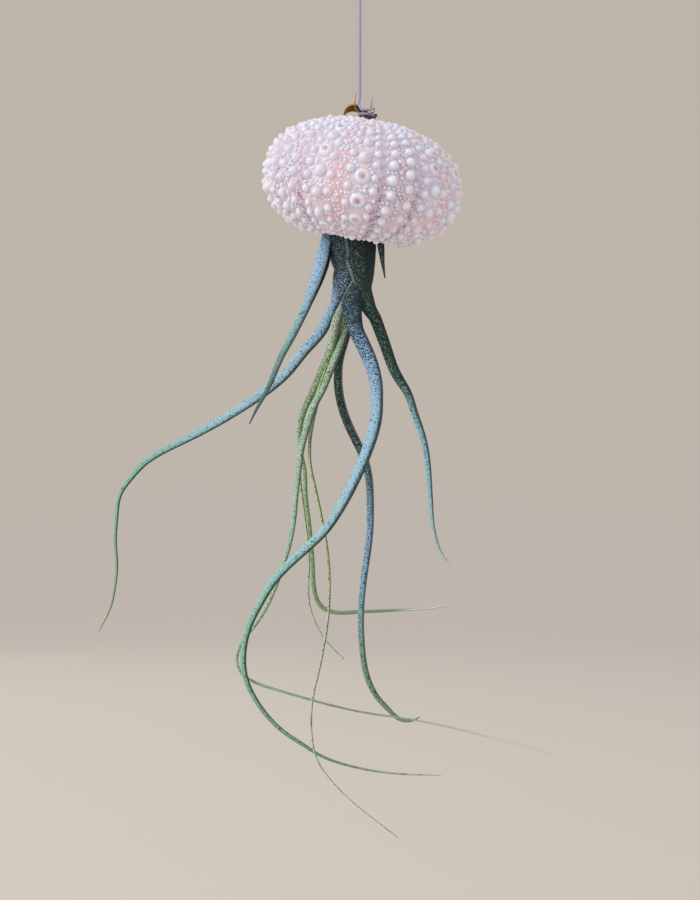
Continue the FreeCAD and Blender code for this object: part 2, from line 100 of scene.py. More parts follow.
# %% Shader sums
class Field:
    """A value, colour or vector that varies over a surface."""

    def __init__(self, tree, socket=None):
        self.tree = tree
        self.socket = socket

    def node(self, kind, settings=None, inputs=None, output=0):
        """Adds a node and returns one of its outputs."""
        made = self.tree.nodes.new("ShaderNode" + kind)
        for name, value in (settings or {}).items():
            if name == "stops":
                set_stops(made.color_ramp, value)
            else:
                setattr(made, name, value)
        for key, value in (inputs or {}).items():
            if isinstance(value, Field):
                self.tree.links.new(value.socket, made.inputs[key])
            else:
                made.inputs[key].default_value = value
        return Field(self.tree, made.outputs[output] if made.outputs else None)

    def math(self, operation, first, second=0.0):
        return self.node("Math", {"operation": operation}, {0: first, 1: second})

    def __add__(self, other):
        return self.math("ADD", self, other)

    def __sub__(self, other):
        return self.math("SUBTRACT", self, other)

    def __rsub__(self, other):
        return self.math("SUBTRACT", other, self)

    def __mul__(self, other):
        return self.math("MULTIPLY", self, other)

    __radd__ = __add__
    __rmul__ = __mul__

    def rise(self, low, high):
        """0 below low, 1 above high, and a soft step between."""
        span = {"Value": self, "From Min": low, "From Max": high}
        return self.node("MapRange", {"interpolation_type": "SMOOTHSTEP"}, span)

    def paint(self, first, second):
        """The first colour where this is 0, the second where it is 1."""
        return self.node("Mix", {"data_type": "RGBA"}, {0: self, 6: first, 7: second}, 2)

    def ramp(self, stops):
        return self.node("ValToRGB", {"stops": stops}, {"Fac": self})

    def noise(self, scale, detail=2.0):
        """Soft noise over this vector, from 0 to 1."""
        return self.node("TexNoise", {}, {"Vector": self, "Scale": scale, "Detail": detail})

    def stretch(self, scale):
        """This vector, drawn out along each axis by its own factor."""
        return self.node("VectorMath", {"operation": "MULTIPLY"}, {0: self, 1: scale})

    def attribute(self, name, output="Fac"):
        return self.node("Attribute", {"attribute_name": name}, output=output)


def colour(code):
    """A colour written as on a paint chart, such as ffcc00, as Blender's linear values."""
    parts = [int(code[k:k + 2], 16) / 255 for k in (0, 2, 4)]
    linear = [part / 12.92 if part <= 0.04045 else ((part + 0.055) / 1.055) ** 2.4 for part in parts]
    return (*linear, 1.0)


def set_stops(ramp, stops):
    """Gives a colour ramp its stops, as pairs of a place and a colour."""
    while len(ramp.elements) < len(stops):
        ramp.elements.new(1.0)
    for element, (place, shade) in zip(ramp.elements, stops):
        element.position = place
        element.color = shade


def material(name, look):
    """A new material whose nodes the function look writes."""
    made = bpy.data.materials.new(name)
    made.use_nodes = True
    made.node_tree.nodes.clear()
    look(Field(made.node_tree))
    return made


def surface(base, shade, roughness, height=None, relief=0.1 * mm, **constants):
    """The shader itself: what varies comes in as Fields, and the rest are plain numbers."""
    sockets = {"Base Color": shade, "Roughness": roughness}
    if height is not None:
        sockets["Normal"] = base.node("Bump", {}, {"Height": height, "Distance": relief})
    sockets.update({name.replace("_", " "): value for name, value in constants.items()})
    shader = base.node("BsdfPrincipled", {}, sockets)
    base.node("OutputMaterial", {}, {"Surface": shader})


# %% [markdown]
# Most pieces here are rings of points joined into a skin, so a few helpers join rings, close their ends
# and turn them into an object. Each object can carry fields, such as how far along a leaf a point
# lies, and the materials read those.

# %% Mesh helpers
def ring_faces(rings, sides, closed_along=False):
    """Four-sided faces between neighbouring rings of points."""
    rows = np.arange(rings if closed_along else rings - 1)[:, None]
    columns = np.arange(sides)[None, :]
    here = rows * sides
    there = (rows + 1) % rings * sides
    beside = (columns + 1) % sides
    faces = [here + columns, there + columns, there + beside, here + beside]
    return np.stack(np.broadcast_arrays(*faces), -1).reshape(-1, 4)


def tube_faces(rings, sides, turned=False):
    """Faces of a closed tube, whose last two points are the middles of its ends.

    They face out where the rings run counterclockwise for an eye that looks along the tube, and turned
    flips them for rings that run the other way.
    """
    last = (rings - 1) * sides
    faces = ring_faces(rings, sides).tolist()
    faces += [[k, (k + 1) % sides, last + sides] for k in range(sides)]
    faces += [[last + (k + 1) % sides, last + k, last + sides + 1] for k in range(sides)]
    return [face[::-1] for face in faces] if turned else faces


def smooth_object(name, points, faces, finish, fields):
    """Makes one smooth object from points and faces, with fields for its material to read."""
    mesh = bpy.data.meshes.new(name)
    mesh.from_pydata(np.asarray(points).tolist(), [], [list(face) for face in faces])
    for field, values in fields.items():
        values = np.asarray(values, float)
        kind, key = ("FLOAT_VECTOR", "vector") if values.ndim == 2 else ("FLOAT", "value")
        layer = mesh.attributes.new(field, kind, "POINT")
        layer.data.foreach_set(key, values.ravel())
    mesh.polygons.foreach_set("use_smooth", [True] * len(mesh.polygons))
    mesh.materials.append(finish)
    mesh.validate()
    made = bpy.data.objects.new(name, mesh)
    bpy.context.collection.objects.link(made)
    return made


def add_piece(name, points, faces, finish, body, node, slot_name, **fields):
    """A smooth object that rides on a body and stands for a node of the frame."""
    piece = smooth_object(name, points, faces, finish, fields)
    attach(piece, body)
    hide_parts(node)
    return piece


def with_ends(values, first, last):
    """A field's values ring by ring, and then those of a tube's two end points."""
    return np.concatenate([np.ravel(values), [first, last]])


def unit(vectors):
    """Vectors made one long."""
    return vectors / np.linalg.norm(vectors, axis=-1, keepdims=True)


def headings(line):
    """The direction of a line of points at each of them."""
    return unit(np.gradient(line, axis=0))


def length_along(line):
    """How far along a line of points each of them lies."""
    steps = np.linalg.norm(np.diff(line, axis=0), axis=1)
    return np.concatenate([[0], np.cumsum(steps)])


# %% [markdown]
# The thread is three yarns twisted together. A cord like this is drawn by the line that it follows, a
# smooth NURBS curve. Its skin then has three soft lobes that turn as they go along, which at this
# size reads as twisted yarn and needs no separate strands.

# %% Thread helpers
thread_radius = 0.55 * mm
lobe_count = 3
lobe_share = 0.14
lay_length = 3.4 * mm
thread_sides = 18
askew = [0.3, 1, 0.2]


def route_line(name, controls, steps=12):
    """The points of the smooth line that has these control points."""
    data = bpy.data.curves.new(name, "CURVE")
    data.dimensions = "3D"
    data.resolution_u = steps
    spline = data.splines.new("NURBS")
    spline.points.add(len(controls) - 1)
    for point, place in zip(spline.points, controls):
        point.co = (*place, 1)
    spline.order_u = 3
    spline.use_endpoint_u = True
    holder = bpy.data.objects.new(name, data)
    mesh = bpy.data.meshes.new_from_object(holder)
    line = np.array([vertex.co[:] for vertex in mesh.vertices])
    bpy.data.meshes.remove(mesh)
    bpy.data.objects.remove(holder)
    bpy.data.curves.remove(data)
    return line


def across(line):
    """Two steady directions square to a line at each of its points, without twist."""
    ways = headings(line)
    side = np.cross(ways[0], askew)
    sides = []
    for way in ways:
        side = unit(side - way * side.dot(way))
        sides.append(side)
    sides = np.array(sides)
    return sides, np.cross(ways, sides)


def full_turn(count):
    """Equal steps of bearing round a circle."""
    return np.linspace(0, 2 * math.pi, count, endpoint=False)


def round_skin(line, reach, turn):
    """Rings of points round a line, at some reach from it, and then the line's two ends."""
    one, two = across(line)
    rings = line[:, None] + reach[..., None] * (
        one[:, None] * np.cos(turn)[None, :, None] + two[:, None] * np.sin(turn)[None, :, None])
    return np.concatenate([rings.reshape(-1, 3), line[:1], line[-1:]])


def twisted_skin(line, radii):
    """Points and faces of a twisted cord along a line, closed at both ends."""
    run = length_along(line)
    turn = full_turn(thread_sides)
    swell = 1 + lobe_share * np.cos(lobe_count * (turn[None, :] - run[:, None] / lay_length * 2 * math.pi))
    reach = np.broadcast_to(radii, run.shape)[:, None] * swell / (1 + lobe_share)
    points = round_skin(line, reach, turn)
    return points, tube_faces(len(line), thread_sides, turned=True), with_ends(swell, 1, 1)


def add_thread(name, line, radii, finish, body, node):
    """One length of thread that stands for a node of the frame."""
    points, faces, groove = twisted_skin(line, radii)
    return add_piece(name, points, faces, finish, body, node, "thread", groove=groove)


# %% [markdown]
# Dyed cotton is painted paler on the crown of each yarn as a painted highlight and darker in the grooves
# between them as painted shade, and it has a slight fuzz. The groove field does most of that, and fine
# noise breaks it up.

# %% Thread finish
def thread_look(crown, hollow_shade):
    """Twisted cotton, its crowns painted with a highlight colour and its hollows with a shade colour."""
    def look(base):
        place = base.node("TexCoord", output="Object")
        groove = base.attribute("groove").rise(1 - lobe_share, 1 + lobe_share)
        fibre = place.noise(3500.0, 3.0)
        # Painted light: the crowns of the yarns take the lighter colour as a highlight, and the hollows
        # between them the darker one as shade.
        shade = (groove * 0.8 + fibre * 0.3).paint(colour(hollow_shade), colour(crown))
        surface(base, shade, 0.75, groove + fibre * 0.6, 0.08 * mm, Sheen_Weight=0.3)
    return look


lilac_thread = material("lilac_thread", thread_look("bdb5e2", "7a72aa"))
knot_thread = material("knot_thread", thread_look("dcdcd0", "7d8068"))


# %% [markdown]
# The taut thread runs straight from the tie up to the knot of the hanging loop. It is the only cord
# here. The knot and the winding ride on other bodies, since the thread swings under its knot and the
# plant can twist under the thread. The knot grips the thread's end, so it is thinner there, which also
# leaves it room to swing.

# %% Hanging thread
swing_place = Vector(joints["swing_sideways"]["pos_m"])
twist_place = Vector(joints["thread_twist"]["pos_m"])
knot_radius = (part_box("loop_knot")[1].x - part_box("loop_knot")[0].x) / 2
end_in_knot = 0.1 * mm
gripped_share = 0.4
grip_length = 1.2 * mm
thread_top = swing_place.z - knot_radius + end_in_knot
thread_controls = [(0, 0, twist_place.z), (0, 0, (twist_place.z + thread_top) / 2), (0, 0, thread_top)]

thread_line = route_line("thread_route", thread_controls, 40)
below_knot = length_along(thread_line[::-1])[::-1]
pulled_in = np.clip(gripped_share + below_knot / grip_length, 0, 1)
hanging_thread = add_thread("hanging_thread_yarn", thread_line, thread_radius * pulled_in, lilac_thread,
                            "thread", "hanging_thread")

# %% [markdown]
# A knot in thread this thin is a tight little tangle. A line that winds three times through a ring,
# the trefoil, gives just that: the yarns pass over and under each other wherever one looks from.
# Under the loop's knot one more turn passes fore and aft, at an even distance from the knot's middle,
# so the thread's end meets it however far the thread swings.

# %% Knots
knot_yarn = 0.5 * mm
tie_yarn = 0.46 * mm
under_end_deg = 150
under_sink = 0.8


def tangle_line(middle, reach, flat, way, count=150):
    """The line of a trefoil knot round a middle point, its axis along way."""
    turn = np.linspace(0, 2 * math.pi, count)
    out = 2 + np.cos(3 * turn)
    flat_line = np.stack([out * np.cos(2 * turn), out * np.sin(2 * turn), flat * np.sin(3 * turn)], 1)
    way = Vector(way).normalized()
    turned = way.to_track_quat("Z", "Y").to_matrix()
    return np.array(middle) + reach / 3 * flat_line @ np.array(turned).T


def under_turn(middle, reach, count=60):
    """The line of a turn that leaves the knot's core, passes under it and goes back in."""
    bearing = np.radians(np.linspace(-under_end_deg, under_end_deg, count))
    out = reach * (1 - under_sink * (bearing / bearing[-1]) ** 2)
    line = np.stack([0 * out, out * np.sin(bearing), -out * np.cos(bearing)], 1)
    return np.array(middle) + line


def add_knot(name, middle, reach, flat, way, yarn, finish, body, node, under=0):
    """A tangle of one yarn, with a turn under it that reaches this far out, if one is asked for."""
    points, faces, groove = twisted_skin(tangle_line(middle, reach, flat, way), yarn)
    if under:
        more, more_faces, more_groove = twisted_skin(under_turn(middle, under - yarn), yarn)
        faces = list(faces) + [tuple(k + len(points) for k in face) for face in more_faces]
        points = np.concatenate([points, more])
        groove = np.concatenate([groove, more_groove])
    return add_piece(name, points, faces, finish, body, node, "thread", groove=groove)


loop_knot = add_knot("loop_knot_yarn", swing_place, 1.25 * mm, 2.2, (0, 0, 1), knot_yarn, lilac_thread,
                     "knot", "loop_knot", under=knot_radius)
print("loop's knot across in mm:", round(2 * knot_radius / mm, 1))

# %% [markdown]
# The hanging loop is a round eye with two legs that come together at the knot. Control points on a
# circle pull the line a little inside it, so they stand out by the cosine of half a step.

# %% Hanging loop
eye_low, eye_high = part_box("hanging_loop")
eye_radius = (eye_high.x - eye_low.x) / 2 - thread_radius
eye_middle = eye_high.z - thread_radius - eye_radius
eye_steps = 8
lowest_deg = -40
foot_side = 0.9 * mm
foot_height = 0.8 * knot_radius
knee_side = 1.6 * mm
knee_rise = 1.8 * mm


def loop_controls():
    """Control points up one leg, round the eye and down the other."""
    bearings = np.radians(np.linspace(lowest_deg, 180 - lowest_deg, eye_steps + 1))
    reach = eye_radius / math.cos((bearings[1] - bearings[0]) / 2)
    round_top = [(reach * math.cos(b), 0, eye_middle + reach * math.sin(b)) for b in bearings]
    foot = (foot_side, 0, swing_place.z + foot_height)
    knee = (knee_side, 0, foot[2] + knee_rise)
    left = [(-x, y, z) for x, y, z in (knee, foot)]
    return [foot, knee, *round_top, *left]


hanging_loop = add_thread("hanging_loop_yarn", route_line("loop_route", loop_controls()), thread_radius,
                          lilac_thread, "eye", "hanging_loop")
print("loop inside width in mm:", round((2 * eye_radius - 2 * thread_radius) / mm, 2))

# %% [markdown]
# Below, the thread bends in to the plant's dry stub and goes twice round it. The winding's line is a
# helix about the stub, and its points come from the stub's own place in the frame.

# %% Winding
stub_low, stub_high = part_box("stem_stub")
stub_middle = Vector(((stub_low.x + stub_high.x) / 2, (stub_low.y + stub_high.y) / 2, stub_high.z))
stub_radius = (stub_high.x - stub_low.x) / 2
winding_clearance = 0.05 * mm
winding_radius = stub_radius + thread_radius + winding_clearance
winding_start_deg = 225
winding_pitch = 1.55 * mm
winding_turns = 2
points_per_turn = 12
winding_drop = 0.1 * mm
lead_straight = Vector((0, 0, -1.3 * mm))
lead_bend = Vector((-0.55 * mm, -0.25 * mm, -3.4 * mm))


def winding_controls():
    """Control points from the thread's foot through the lead and round the stub."""
    reach = winding_radius / math.cos(math.pi / points_per_turn)
    head = Vector((0, 0, twist_place.z))
    controls = [head, head + lead_straight, head + lead_bend]
    for k in range(winding_turns * points_per_turn + 1):
        bearing = math.radians(winding_start_deg) + 2 * math.pi * k / points_per_turn
        drop = winding_drop + winding_pitch * k / points_per_turn
        out = Vector((reach * math.cos(bearing), reach * math.sin(bearing), -drop))
        controls.append(stub_middle + out)
    return controls


winding_line = route_line("winding_route", winding_controls())
winding = add_thread("tie_winding_yarn", winding_line, thread_radius, lilac_thread, "plant",
                     "tie_winding")
print("winding's thread in mm:", round(float(length_along(winding_line)[-1]) / mm, 1))

# %% [markdown]
# The tie ends in a small grey-green knot beside the stub, which faces the front, and a loose pink tail
# stands up from it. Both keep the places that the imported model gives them.

# %% Tie knot and tail
knot_low, knot_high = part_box("tie_knot")
knot_middle = (knot_low + knot_high) / 2
tie_knot = add_knot("tie_knot_yarn", knot_middle, 1.05 * mm, 2.4, (0.3, -1, 0.2), tie_yarn, knot_thread,
                    "plant", "tie_knot")

tail_low, tail_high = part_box("thread_tail")
tail_foot = Vector((knot_middle.x, knot_middle.y, tail_low.z))
tail_middle = (tail_low + tail_high) / 2
tail_lean = 0.3 * mm
tail_bow = Vector((-0.5 * mm, -0.3 * mm, 0.3 * mm))
tail_tip = Vector((tail_middle.x + tail_lean, tail_middle.y, tail_high.z))
tail_knee = (tail_foot + tail_tip) / 2 + tail_bow
tail_line = route_line("tail_route", [tail_foot, tail_knee, tail_tip])
tail_radii = np.linspace(0.42, 0.2, len(tail_line)) * mm
pink_thread = material("pink_thread", thread_look("dcb9c6", "94707f"))
thread_tail = add_thread("thread_tail_yarn", tail_line, tail_radii, pink_thread, "plant", "thread_tail")
print("tail in mm:", round(float(length_along(tail_line)[-1]) / mm, 1))

# %% [markdown]
# The shell is round about its own axis, which leans, and in section it is two halves of a squashed
# oval. All of its size comes from the frame's solid: its widest reach, its rise, its fall and the two
# openings. A superellipse, a little fuller than an oval, follows a real shell's shoulders better. The
# wall lies a little inside the solid, which leaves room for the bosses that stand on it.

# %% Shell profile
shell_joint = joints["shell_turn"]
shell_centre = np.array(shell_joint["pos_m"])
shell_up = unit(np.array(shell_joint["axis"], float))
toward_front = np.array([0.0, -1.0, 0.0])
shell_front = unit(toward_front - shell_up * toward_front.dot(shell_up))
shell_right = np.cross(shell_up, shell_front)

solid = np.array([vertex.co[:] for vertex in frame["nodes"]["urchin_shell"].data.vertices])
solid_height = (solid - shell_centre) @ shell_up
solid_reach = np.linalg.norm(solid - shell_centre - solid_height[:, None] * shell_up, axis=1)
hole_radius = solid_reach[solid_height > 0].min()
mouth_radius = solid_reach[solid_height < 0].min()
solid_radius = solid_reach.max()
solid_rise = solid_height.max() / math.sqrt(1 - (hole_radius / solid_radius) ** 2)
solid_fall = -solid_height.min() / math.sqrt(1 - (mouth_radius / solid_radius) ** 2)
side_room = 0.7 * mm
crown_room = 1.3 * mm
floor_room = 0.5 * mm
wall_radius = solid_radius - side_room
wall_rise = solid_rise - crown_room
wall_fall = solid_fall - floor_room
wall_thickness = 1.4 * mm
fullness_above = 2.25
fullness_below = 2.2
print("shell wall radius in mm:", round(wall_radius / mm, 1), "hole", round(hole_radius / mm, 1))


def half_profile(radius, height, fullness, end_radius, count=200):
    """Reach and height from the equator to the opening of one half, upwards."""
    last = math.acos((end_radius / radius) ** (fullness / 2))
    bearing = np.linspace(0, last, count)
    power = 2 / fullness
    return np.stack([radius * np.cos(bearing) ** power, height * np.sin(bearing) ** power], 1)


def shell_profile(inset):
    """The section's line from the top hole down to the mouth, some way inside the outer face."""
    upper = half_profile(wall_radius - inset, wall_rise - inset, fullness_above, hole_radius)
    lower = half_profile(wall_radius - inset, wall_fall - inset, fullness_below, mouth_radius)
    lower = lower * [1, -1]
    return np.concatenate([upper[::-1], lower[1:]])


outer_profile = shell_profile(0)
outer_run = length_along(outer_profile)
outer_length = outer_run[-1]
outer_normal = unit(np.gradient(outer_profile, axis=0)) @ np.array([[0, 1], [-1, 0]])
print("from hole to mouth along the shell in mm:", round(outer_length / mm, 1))


def on_profile(run, values):
    """A value of the profile at a distance along it."""
    return np.interp(run, outer_run, values)


def shell_place(bearing, run, stand=0.0):
    """A point on the shell's face, or standing off it, and the face's direction there."""
    way = shell_front * np.cos(bearing)[..., None] + shell_right * np.sin(bearing)[..., None]
    reach = on_profile(run, outer_profile[:, 0])[..., None]
    height = on_profile(run, outer_profile[:, 1])[..., None]
    facing = way * on_profile(run, outer_normal[:, 0])[..., None]
    facing = unit(facing + shell_up * on_profile(run, outer_normal[:, 1])[..., None])
    return shell_centre + way * reach + shell_up * height + facing * np.asarray(stand)[..., None], facing


# %% [markdown]
# An urchin's shell has five narrow double rows, where its tube feet came out through pairs of pores,
# and five wide fields between them that carried the big spines. Every boss below finds its place by
# its bearing from one of these ten lines.

# %% Zones of the shell
field_count = 5
field_step = 2 * math.pi / field_count
narrow_bearing = math.radians(23.5)
wide_bearing = narrow_bearing - field_step / 2
seed = np.random.default_rng(7)
print("bearings of the first narrow and wide line:", round(math.degrees(narrow_bearing), 1),
      round(math.degrees(wide_bearing), 1))


def from_zone(bearing, middle):
    """How far a bearing lies from the nearest of five equal lines, one of them at middle."""
    return (bearing - middle + field_step / 2) % field_step - field_step / 2


def zone_mask(bearing, middle, offset_deg, half_deg):
    """1 on a stripe at some degrees each side of five lines, with soft edges."""
    off = np.abs(np.degrees(from_zone(bearing, middle))) - offset_deg
    return np.exp(-(off / half_deg) ** 2)


# %% [markdown]
# The wall itself is one closed skin: down the outside, round the mouth's edge, up the inside and over
# the hole's edge. It is drawn slightly five-sided, as such shells are. Beside its points it keeps how
# pink and how lilac each place is, and which rows lie outside, for the chalk's material to read.

# %% Shell wall
wall_columns = 360
outside_rows = 100
inside_rows = 30
lip_back = 0.35 * mm
lip_out = 0.2 * mm
five_sided = 0.006
pink_half_deg = 7.5
lilac_off_deg, lilac_half_deg = 11.5, 3.5


def wall_section():
    """Reach and height of every row of the wall's skin, and how far outside each row is."""
    rows = np.linspace(0, outer_length, outside_rows)
    outside = np.stack([on_profile(rows, outer_profile[:, 0]), on_profile(rows, outer_profile[:, 1])], 1)
    inner_profile = shell_profile(wall_thickness)
    inner_run = length_along(inner_profile)
    steps = np.linspace(inner_run[-1], 0, inside_rows)
    inside = np.stack([np.interp(steps, inner_run, inner_profile[:, k]) for k in (0, 1)], 1)
    lip_low = (outside[-1] + inside[0]) / 2 - [lip_back, lip_out]
    lip_high = (outside[0] + inside[-1]) / 2 - [lip_back, -lip_out]
    section = np.concatenate([outside, [lip_low], inside, [lip_high]])
    outer_share = np.concatenate([np.ones(outside_rows), [0.5], np.zeros(inside_rows), [0.5]])
    return section, outer_share


section, outer_share = wall_section()
bearings = full_turn(wall_columns)
bulge = 1 + five_sided * np.cos(field_count * (bearings - wide_bearing))
ways = shell_front * np.cos(bearings)[:, None] + shell_right * np.sin(bearings)[:, None]
wall_points = (shell_centre + section[:, None, :1] * bulge[None, :, None] * ways[None]
               + section[:, None, 1:] * shell_up)
every_row = np.ones((len(section), 1))
pink = (zone_mask(bearings, wide_bearing, 0, pink_half_deg) * every_row).ravel()
lilac = (zone_mask(bearings, narrow_bearing, lilac_off_deg, lilac_half_deg) * every_row).ravel()
outer = np.repeat(outer_share, wall_columns)
print("rows in the wall's section:", len(section))

# %% [markdown]
# Cleaned shell is chalk, matt to satin, and its pink sits between the white bosses: strongest down the
# middle of each wide field, and lilac along the pore rows. Fine white grains cover the ground.

# %% Shell finishes
def ground_look(base):
    """Pink and lilac chalk with fine white grains, and a plain paler inside."""
    place = base.node("TexCoord", output="Object")
    grain = place.node("TexVoronoi", {}, {"Vector": place, "Scale": 1050.0, "Randomness": 0.8})
    dots = grain.rise(0.42, 0.2)
    cloud = place.noise(160.0, 3.0)
    blush = base.attribute("blush") * 0.8 + cloud * 0.5 - 0.1
    ground = blush.rise(0.0, 1.0).paint(colour("f1e3ee"), colour("edc2ce"))
    ground = (base.attribute("lilac") * 0.65).paint(ground, colour("ddbcdf"))
    shade = (dots * 0.75).paint(ground, colour("f4f0fa"))
    shade = base.attribute("outer").rise(0.2, 0.6).paint(colour("e4d7de"), shade)
    surface(base, shade, 0.6, dots + cloud * 0.3, 0.25 * mm)


def boss_look(base):
    """White chalk with the red eye or the dark pit where a boss has one. Its tip is painted
    whiter and bluer as a highlight, and its foot greyer lilac as shade.
    """
    place = base.node("TexCoord", output="Object")
    cloud = place.noise(220.0, 2.0)
    tip = base.attribute("tip")
    # Painted light: whiter and bluer towards the tip as a painted highlight, greyer lilac at the foot as
    # painted shade.
    white = tip.rise(0.05, 0.6).paint(colour("dad3ec"), colour("eff4ff"))
    shade = (base.attribute("warm") * cloud.rise(0.3, 0.7)).paint(white, colour("f0d6dc"))
    shade = base.attribute("eye").paint(shade, colour("cb6f69"))
    shade = base.attribute("pit").paint(shade, colour("94506e"))
    surface(base, shade, 0.32, cloud, 0.05 * mm, Coat_Weight=0.25, Coat_Roughness=0.25)


shell_ground = material("shell_ground", ground_look)
shell_boss = material("shell_boss", boss_look)

wall_faces = ring_faces(len(section), wall_columns, closed_along=True)
add_piece("urchin_shell_wall", wall_points.reshape(-1, 3), wall_faces, shell_ground, "shell",
          "urchin_shell", "shell", blush=pink, lilac=lilac, outer=outer)
print("wall faces:", len(wall_faces))

# %% [markdown]
# Spines sat on bosses. Each kind of boss is one small turned profile, repeated by the hundred: smooth
# pearls, low wide ones with a red eye where the spine's ligament has worn off, grains, and pore rims.
# A profile lists how far out and how far up each of its rings lies, in shares of the boss's size.

# %% Boss profiles
pearl_profile = [(1.24, -0.14), (1.05, 0.06), (0.94, 0.28), (0.80, 0.54), (0.60, 0.79), (0.38, 0.96),
                 (0.18, 1.05), (0, 1.08)]
eyed_profile = [(1.25, -0.10), (1.10, 0.02), (0.96, 0.16), (0.82, 0.33), (0.66, 0.45), (0.54, 0.47),
                (0.44, 0.42), (0.30, 0.42), (0.14, 0.50), (0, 0.53)]
grain_profile = [(1.15, -0.15), (0.95, 0.35), (0.55, 0.80), (0, 1.0)]
pore_profile = [(1.35, -0.10), (1.05, 0.20), (0.75, 0.20), (0.50, 0.06), (0, 0.04)]


class Bosses:
    """Collects turned bosses on the shell and makes one object of them."""

    def __init__(self):
        self.points = []
        self.faces = []
        self.fields = {}
        self.count = 0

    def add(self, bearing, run, size, profile, sides, **fields):
        """Adds one boss for each bearing, with its distance from the hole and its own size.

        A field's rule gives, for a boss's number and each point's reach, the field's values.
        """
        middle, facing = shell_place(bearing, run)
        along = unit(np.cross(facing, shell_up))
        over = np.cross(facing, along)
        turn = full_turn(sides)
        wheel = along[:, None] * np.cos(turn)[:, None] + over[:, None] * np.sin(turn)[:, None]
        shape = np.array(profile, float)
        out, up = shape[:-1].T
        size = np.broadcast_to(size, bearing.shape)
        rings = (middle[:, None, None] + size[:, None, None, None] * (
            wheel[:, None] * out[None, :, None, None] + facing[:, None, None] * up[None, :, None, None]))
        top = middle + size[:, None] * facing * shape[-1, 1]
        block = np.concatenate([rings.reshape(len(bearing), -1, 3), top[:, None]], 1)
        last = (len(out) - 1) * sides
        skin = [face[::-1] for face in ring_faces(len(out), sides).tolist()]
        skin += [[last + (k + 1) % sides, last + sides, last + k] for k in range(sides)]
        stride = block.shape[1]
        start = self.count + np.arange(len(bearing)) * stride
        for face in skin:
            self.faces += (start[:, None] + np.array(face)).tolist()
        share = np.concatenate([np.repeat(up, sides), [shape[-1, 1]]]) / shape[:, 1].max()
        reach = np.concatenate([np.repeat(out, sides), [0]])
        self.points.append(block.reshape(-1, 3))
        known = {"tip": np.tile(share, len(bearing)), "warm": 0.0, "eye": 0.0, "pit": 0.0}
        for name, rule in fields.items():
            known[name] = np.concatenate([rule(k, reach) for k in range(len(bearing))])
        for name, values in known.items():
            full = np.broadcast_to(values, (stride * len(bearing),))
            self.fields.setdefault(name, []).append(full)
        self.count += stride * len(bearing)

    def finish(self, name):
        """Makes the object."""
        fields = {key: np.concatenate(parts) for key, parts in self.fields.items()}
        add_piece(name, np.concatenate(self.points), self.faces, shell_boss, "shell", "urchin_shell",
                  "shell", **fields)
        print(name, "faces:", len(self.faces))


# %% [markdown]
# The rows of bosses run from the hole to the mouth. Their spacing follows the shell's reach, wide at
# the equator and close near both openings, and the bosses themselves grow with the spacing.

# %% Rows of bosses
first_run = 0.9 * mm
last_room = 0.7 * mm
rim_room = 0.8 * mm
mouth_room = 0.5 * mm
growth = 1.6
bearing_jitter_deg = 0.35
run_jitter = 0.25 * mm
least_growth, most_growth = 0.92, 1.1
eyed_from = 8 * mm
eyed_share = 0.6
eyed_growth = 1.18
eye_edge, eye_fade = 0.62, 0.5
reddest_eye, eye_paling = 0.95, 0.55
eyed_room, plain_room = 1.2, 1.05
placed = []
large_bosses = Bosses()
small_bosses = Bosses()


def between(run, small, large):
    """A value for a distance along the shell: small at the openings, large at the equator."""
    reach = on_profile(run, outer_profile[:, 0]) / wall_radius
    return small + (large - small) * reach ** growth


def row_runs(small, large, offset):
    """Distances along the shell of one row's bosses, whose pitch follows the shell's reach."""
    runs = []
    run = small * offset + first_run
    while run < outer_length - last_room:
        runs.append(run)
        run += between(run, small, large)
    return np.array(runs)


def worn_eye(runs):
    """Which big bosses, none of them beside the hole, have lost their tip and show a red eye."""
    return (seed.uniform(0, 1, len(runs)) < eyed_share) & (runs > eyed_from)


def add_bosses(bearing, runs, sizes, profile, sides, warm, eye):
    """Adds bosses with a tint and, where eye isn't 0, a red eye that fades outwards."""
    large_bosses.add(bearing, runs, sizes, profile, sides,
                     warm=lambda k, reach: np.full(reach.shape, warm[k]),
                     eye=lambda k, reach: eye[k] * np.clip((eye_edge - reach) / eye_fade, 0, 1))


def boss_row(line_bearing, offset_deg, offset, pitch, size, sides, worn):
    """One row of pearls at some degrees from one of the ten lines, some with an eye if worn."""
    runs = row_runs(pitch[0] * mm, pitch[1] * mm, offset)
    bearing = line_bearing + np.radians(offset_deg + seed.normal(0, bearing_jitter_deg, len(runs)))
    runs = np.clip(runs + seed.normal(0, run_jitter, len(runs)), rim_room, outer_length - mouth_room)
    sizes = between(runs, size[0] * mm, size[1] * mm)
    sizes = sizes * seed.uniform(least_growth, most_growth, len(runs))
    eyed = worn_eye(runs) if worn else np.zeros(len(runs), bool)
    warm = seed.uniform(0, 1, len(runs))
    plain = ~eyed
    add_bosses(bearing[plain], runs[plain], sizes[plain], pearl_profile, sides, warm[plain],
               np.zeros(len(runs)))
    if eyed.any():
        add_bosses(bearing[eyed], runs[eyed], sizes[eyed] * eyed_growth, eyed_profile, sides, warm[eyed],
                   reddest_eye - eye_paling * warm[eyed])
    placed.append(np.stack([bearing, runs, sizes * np.where(eyed, eyed_room, plain_room)], 1))


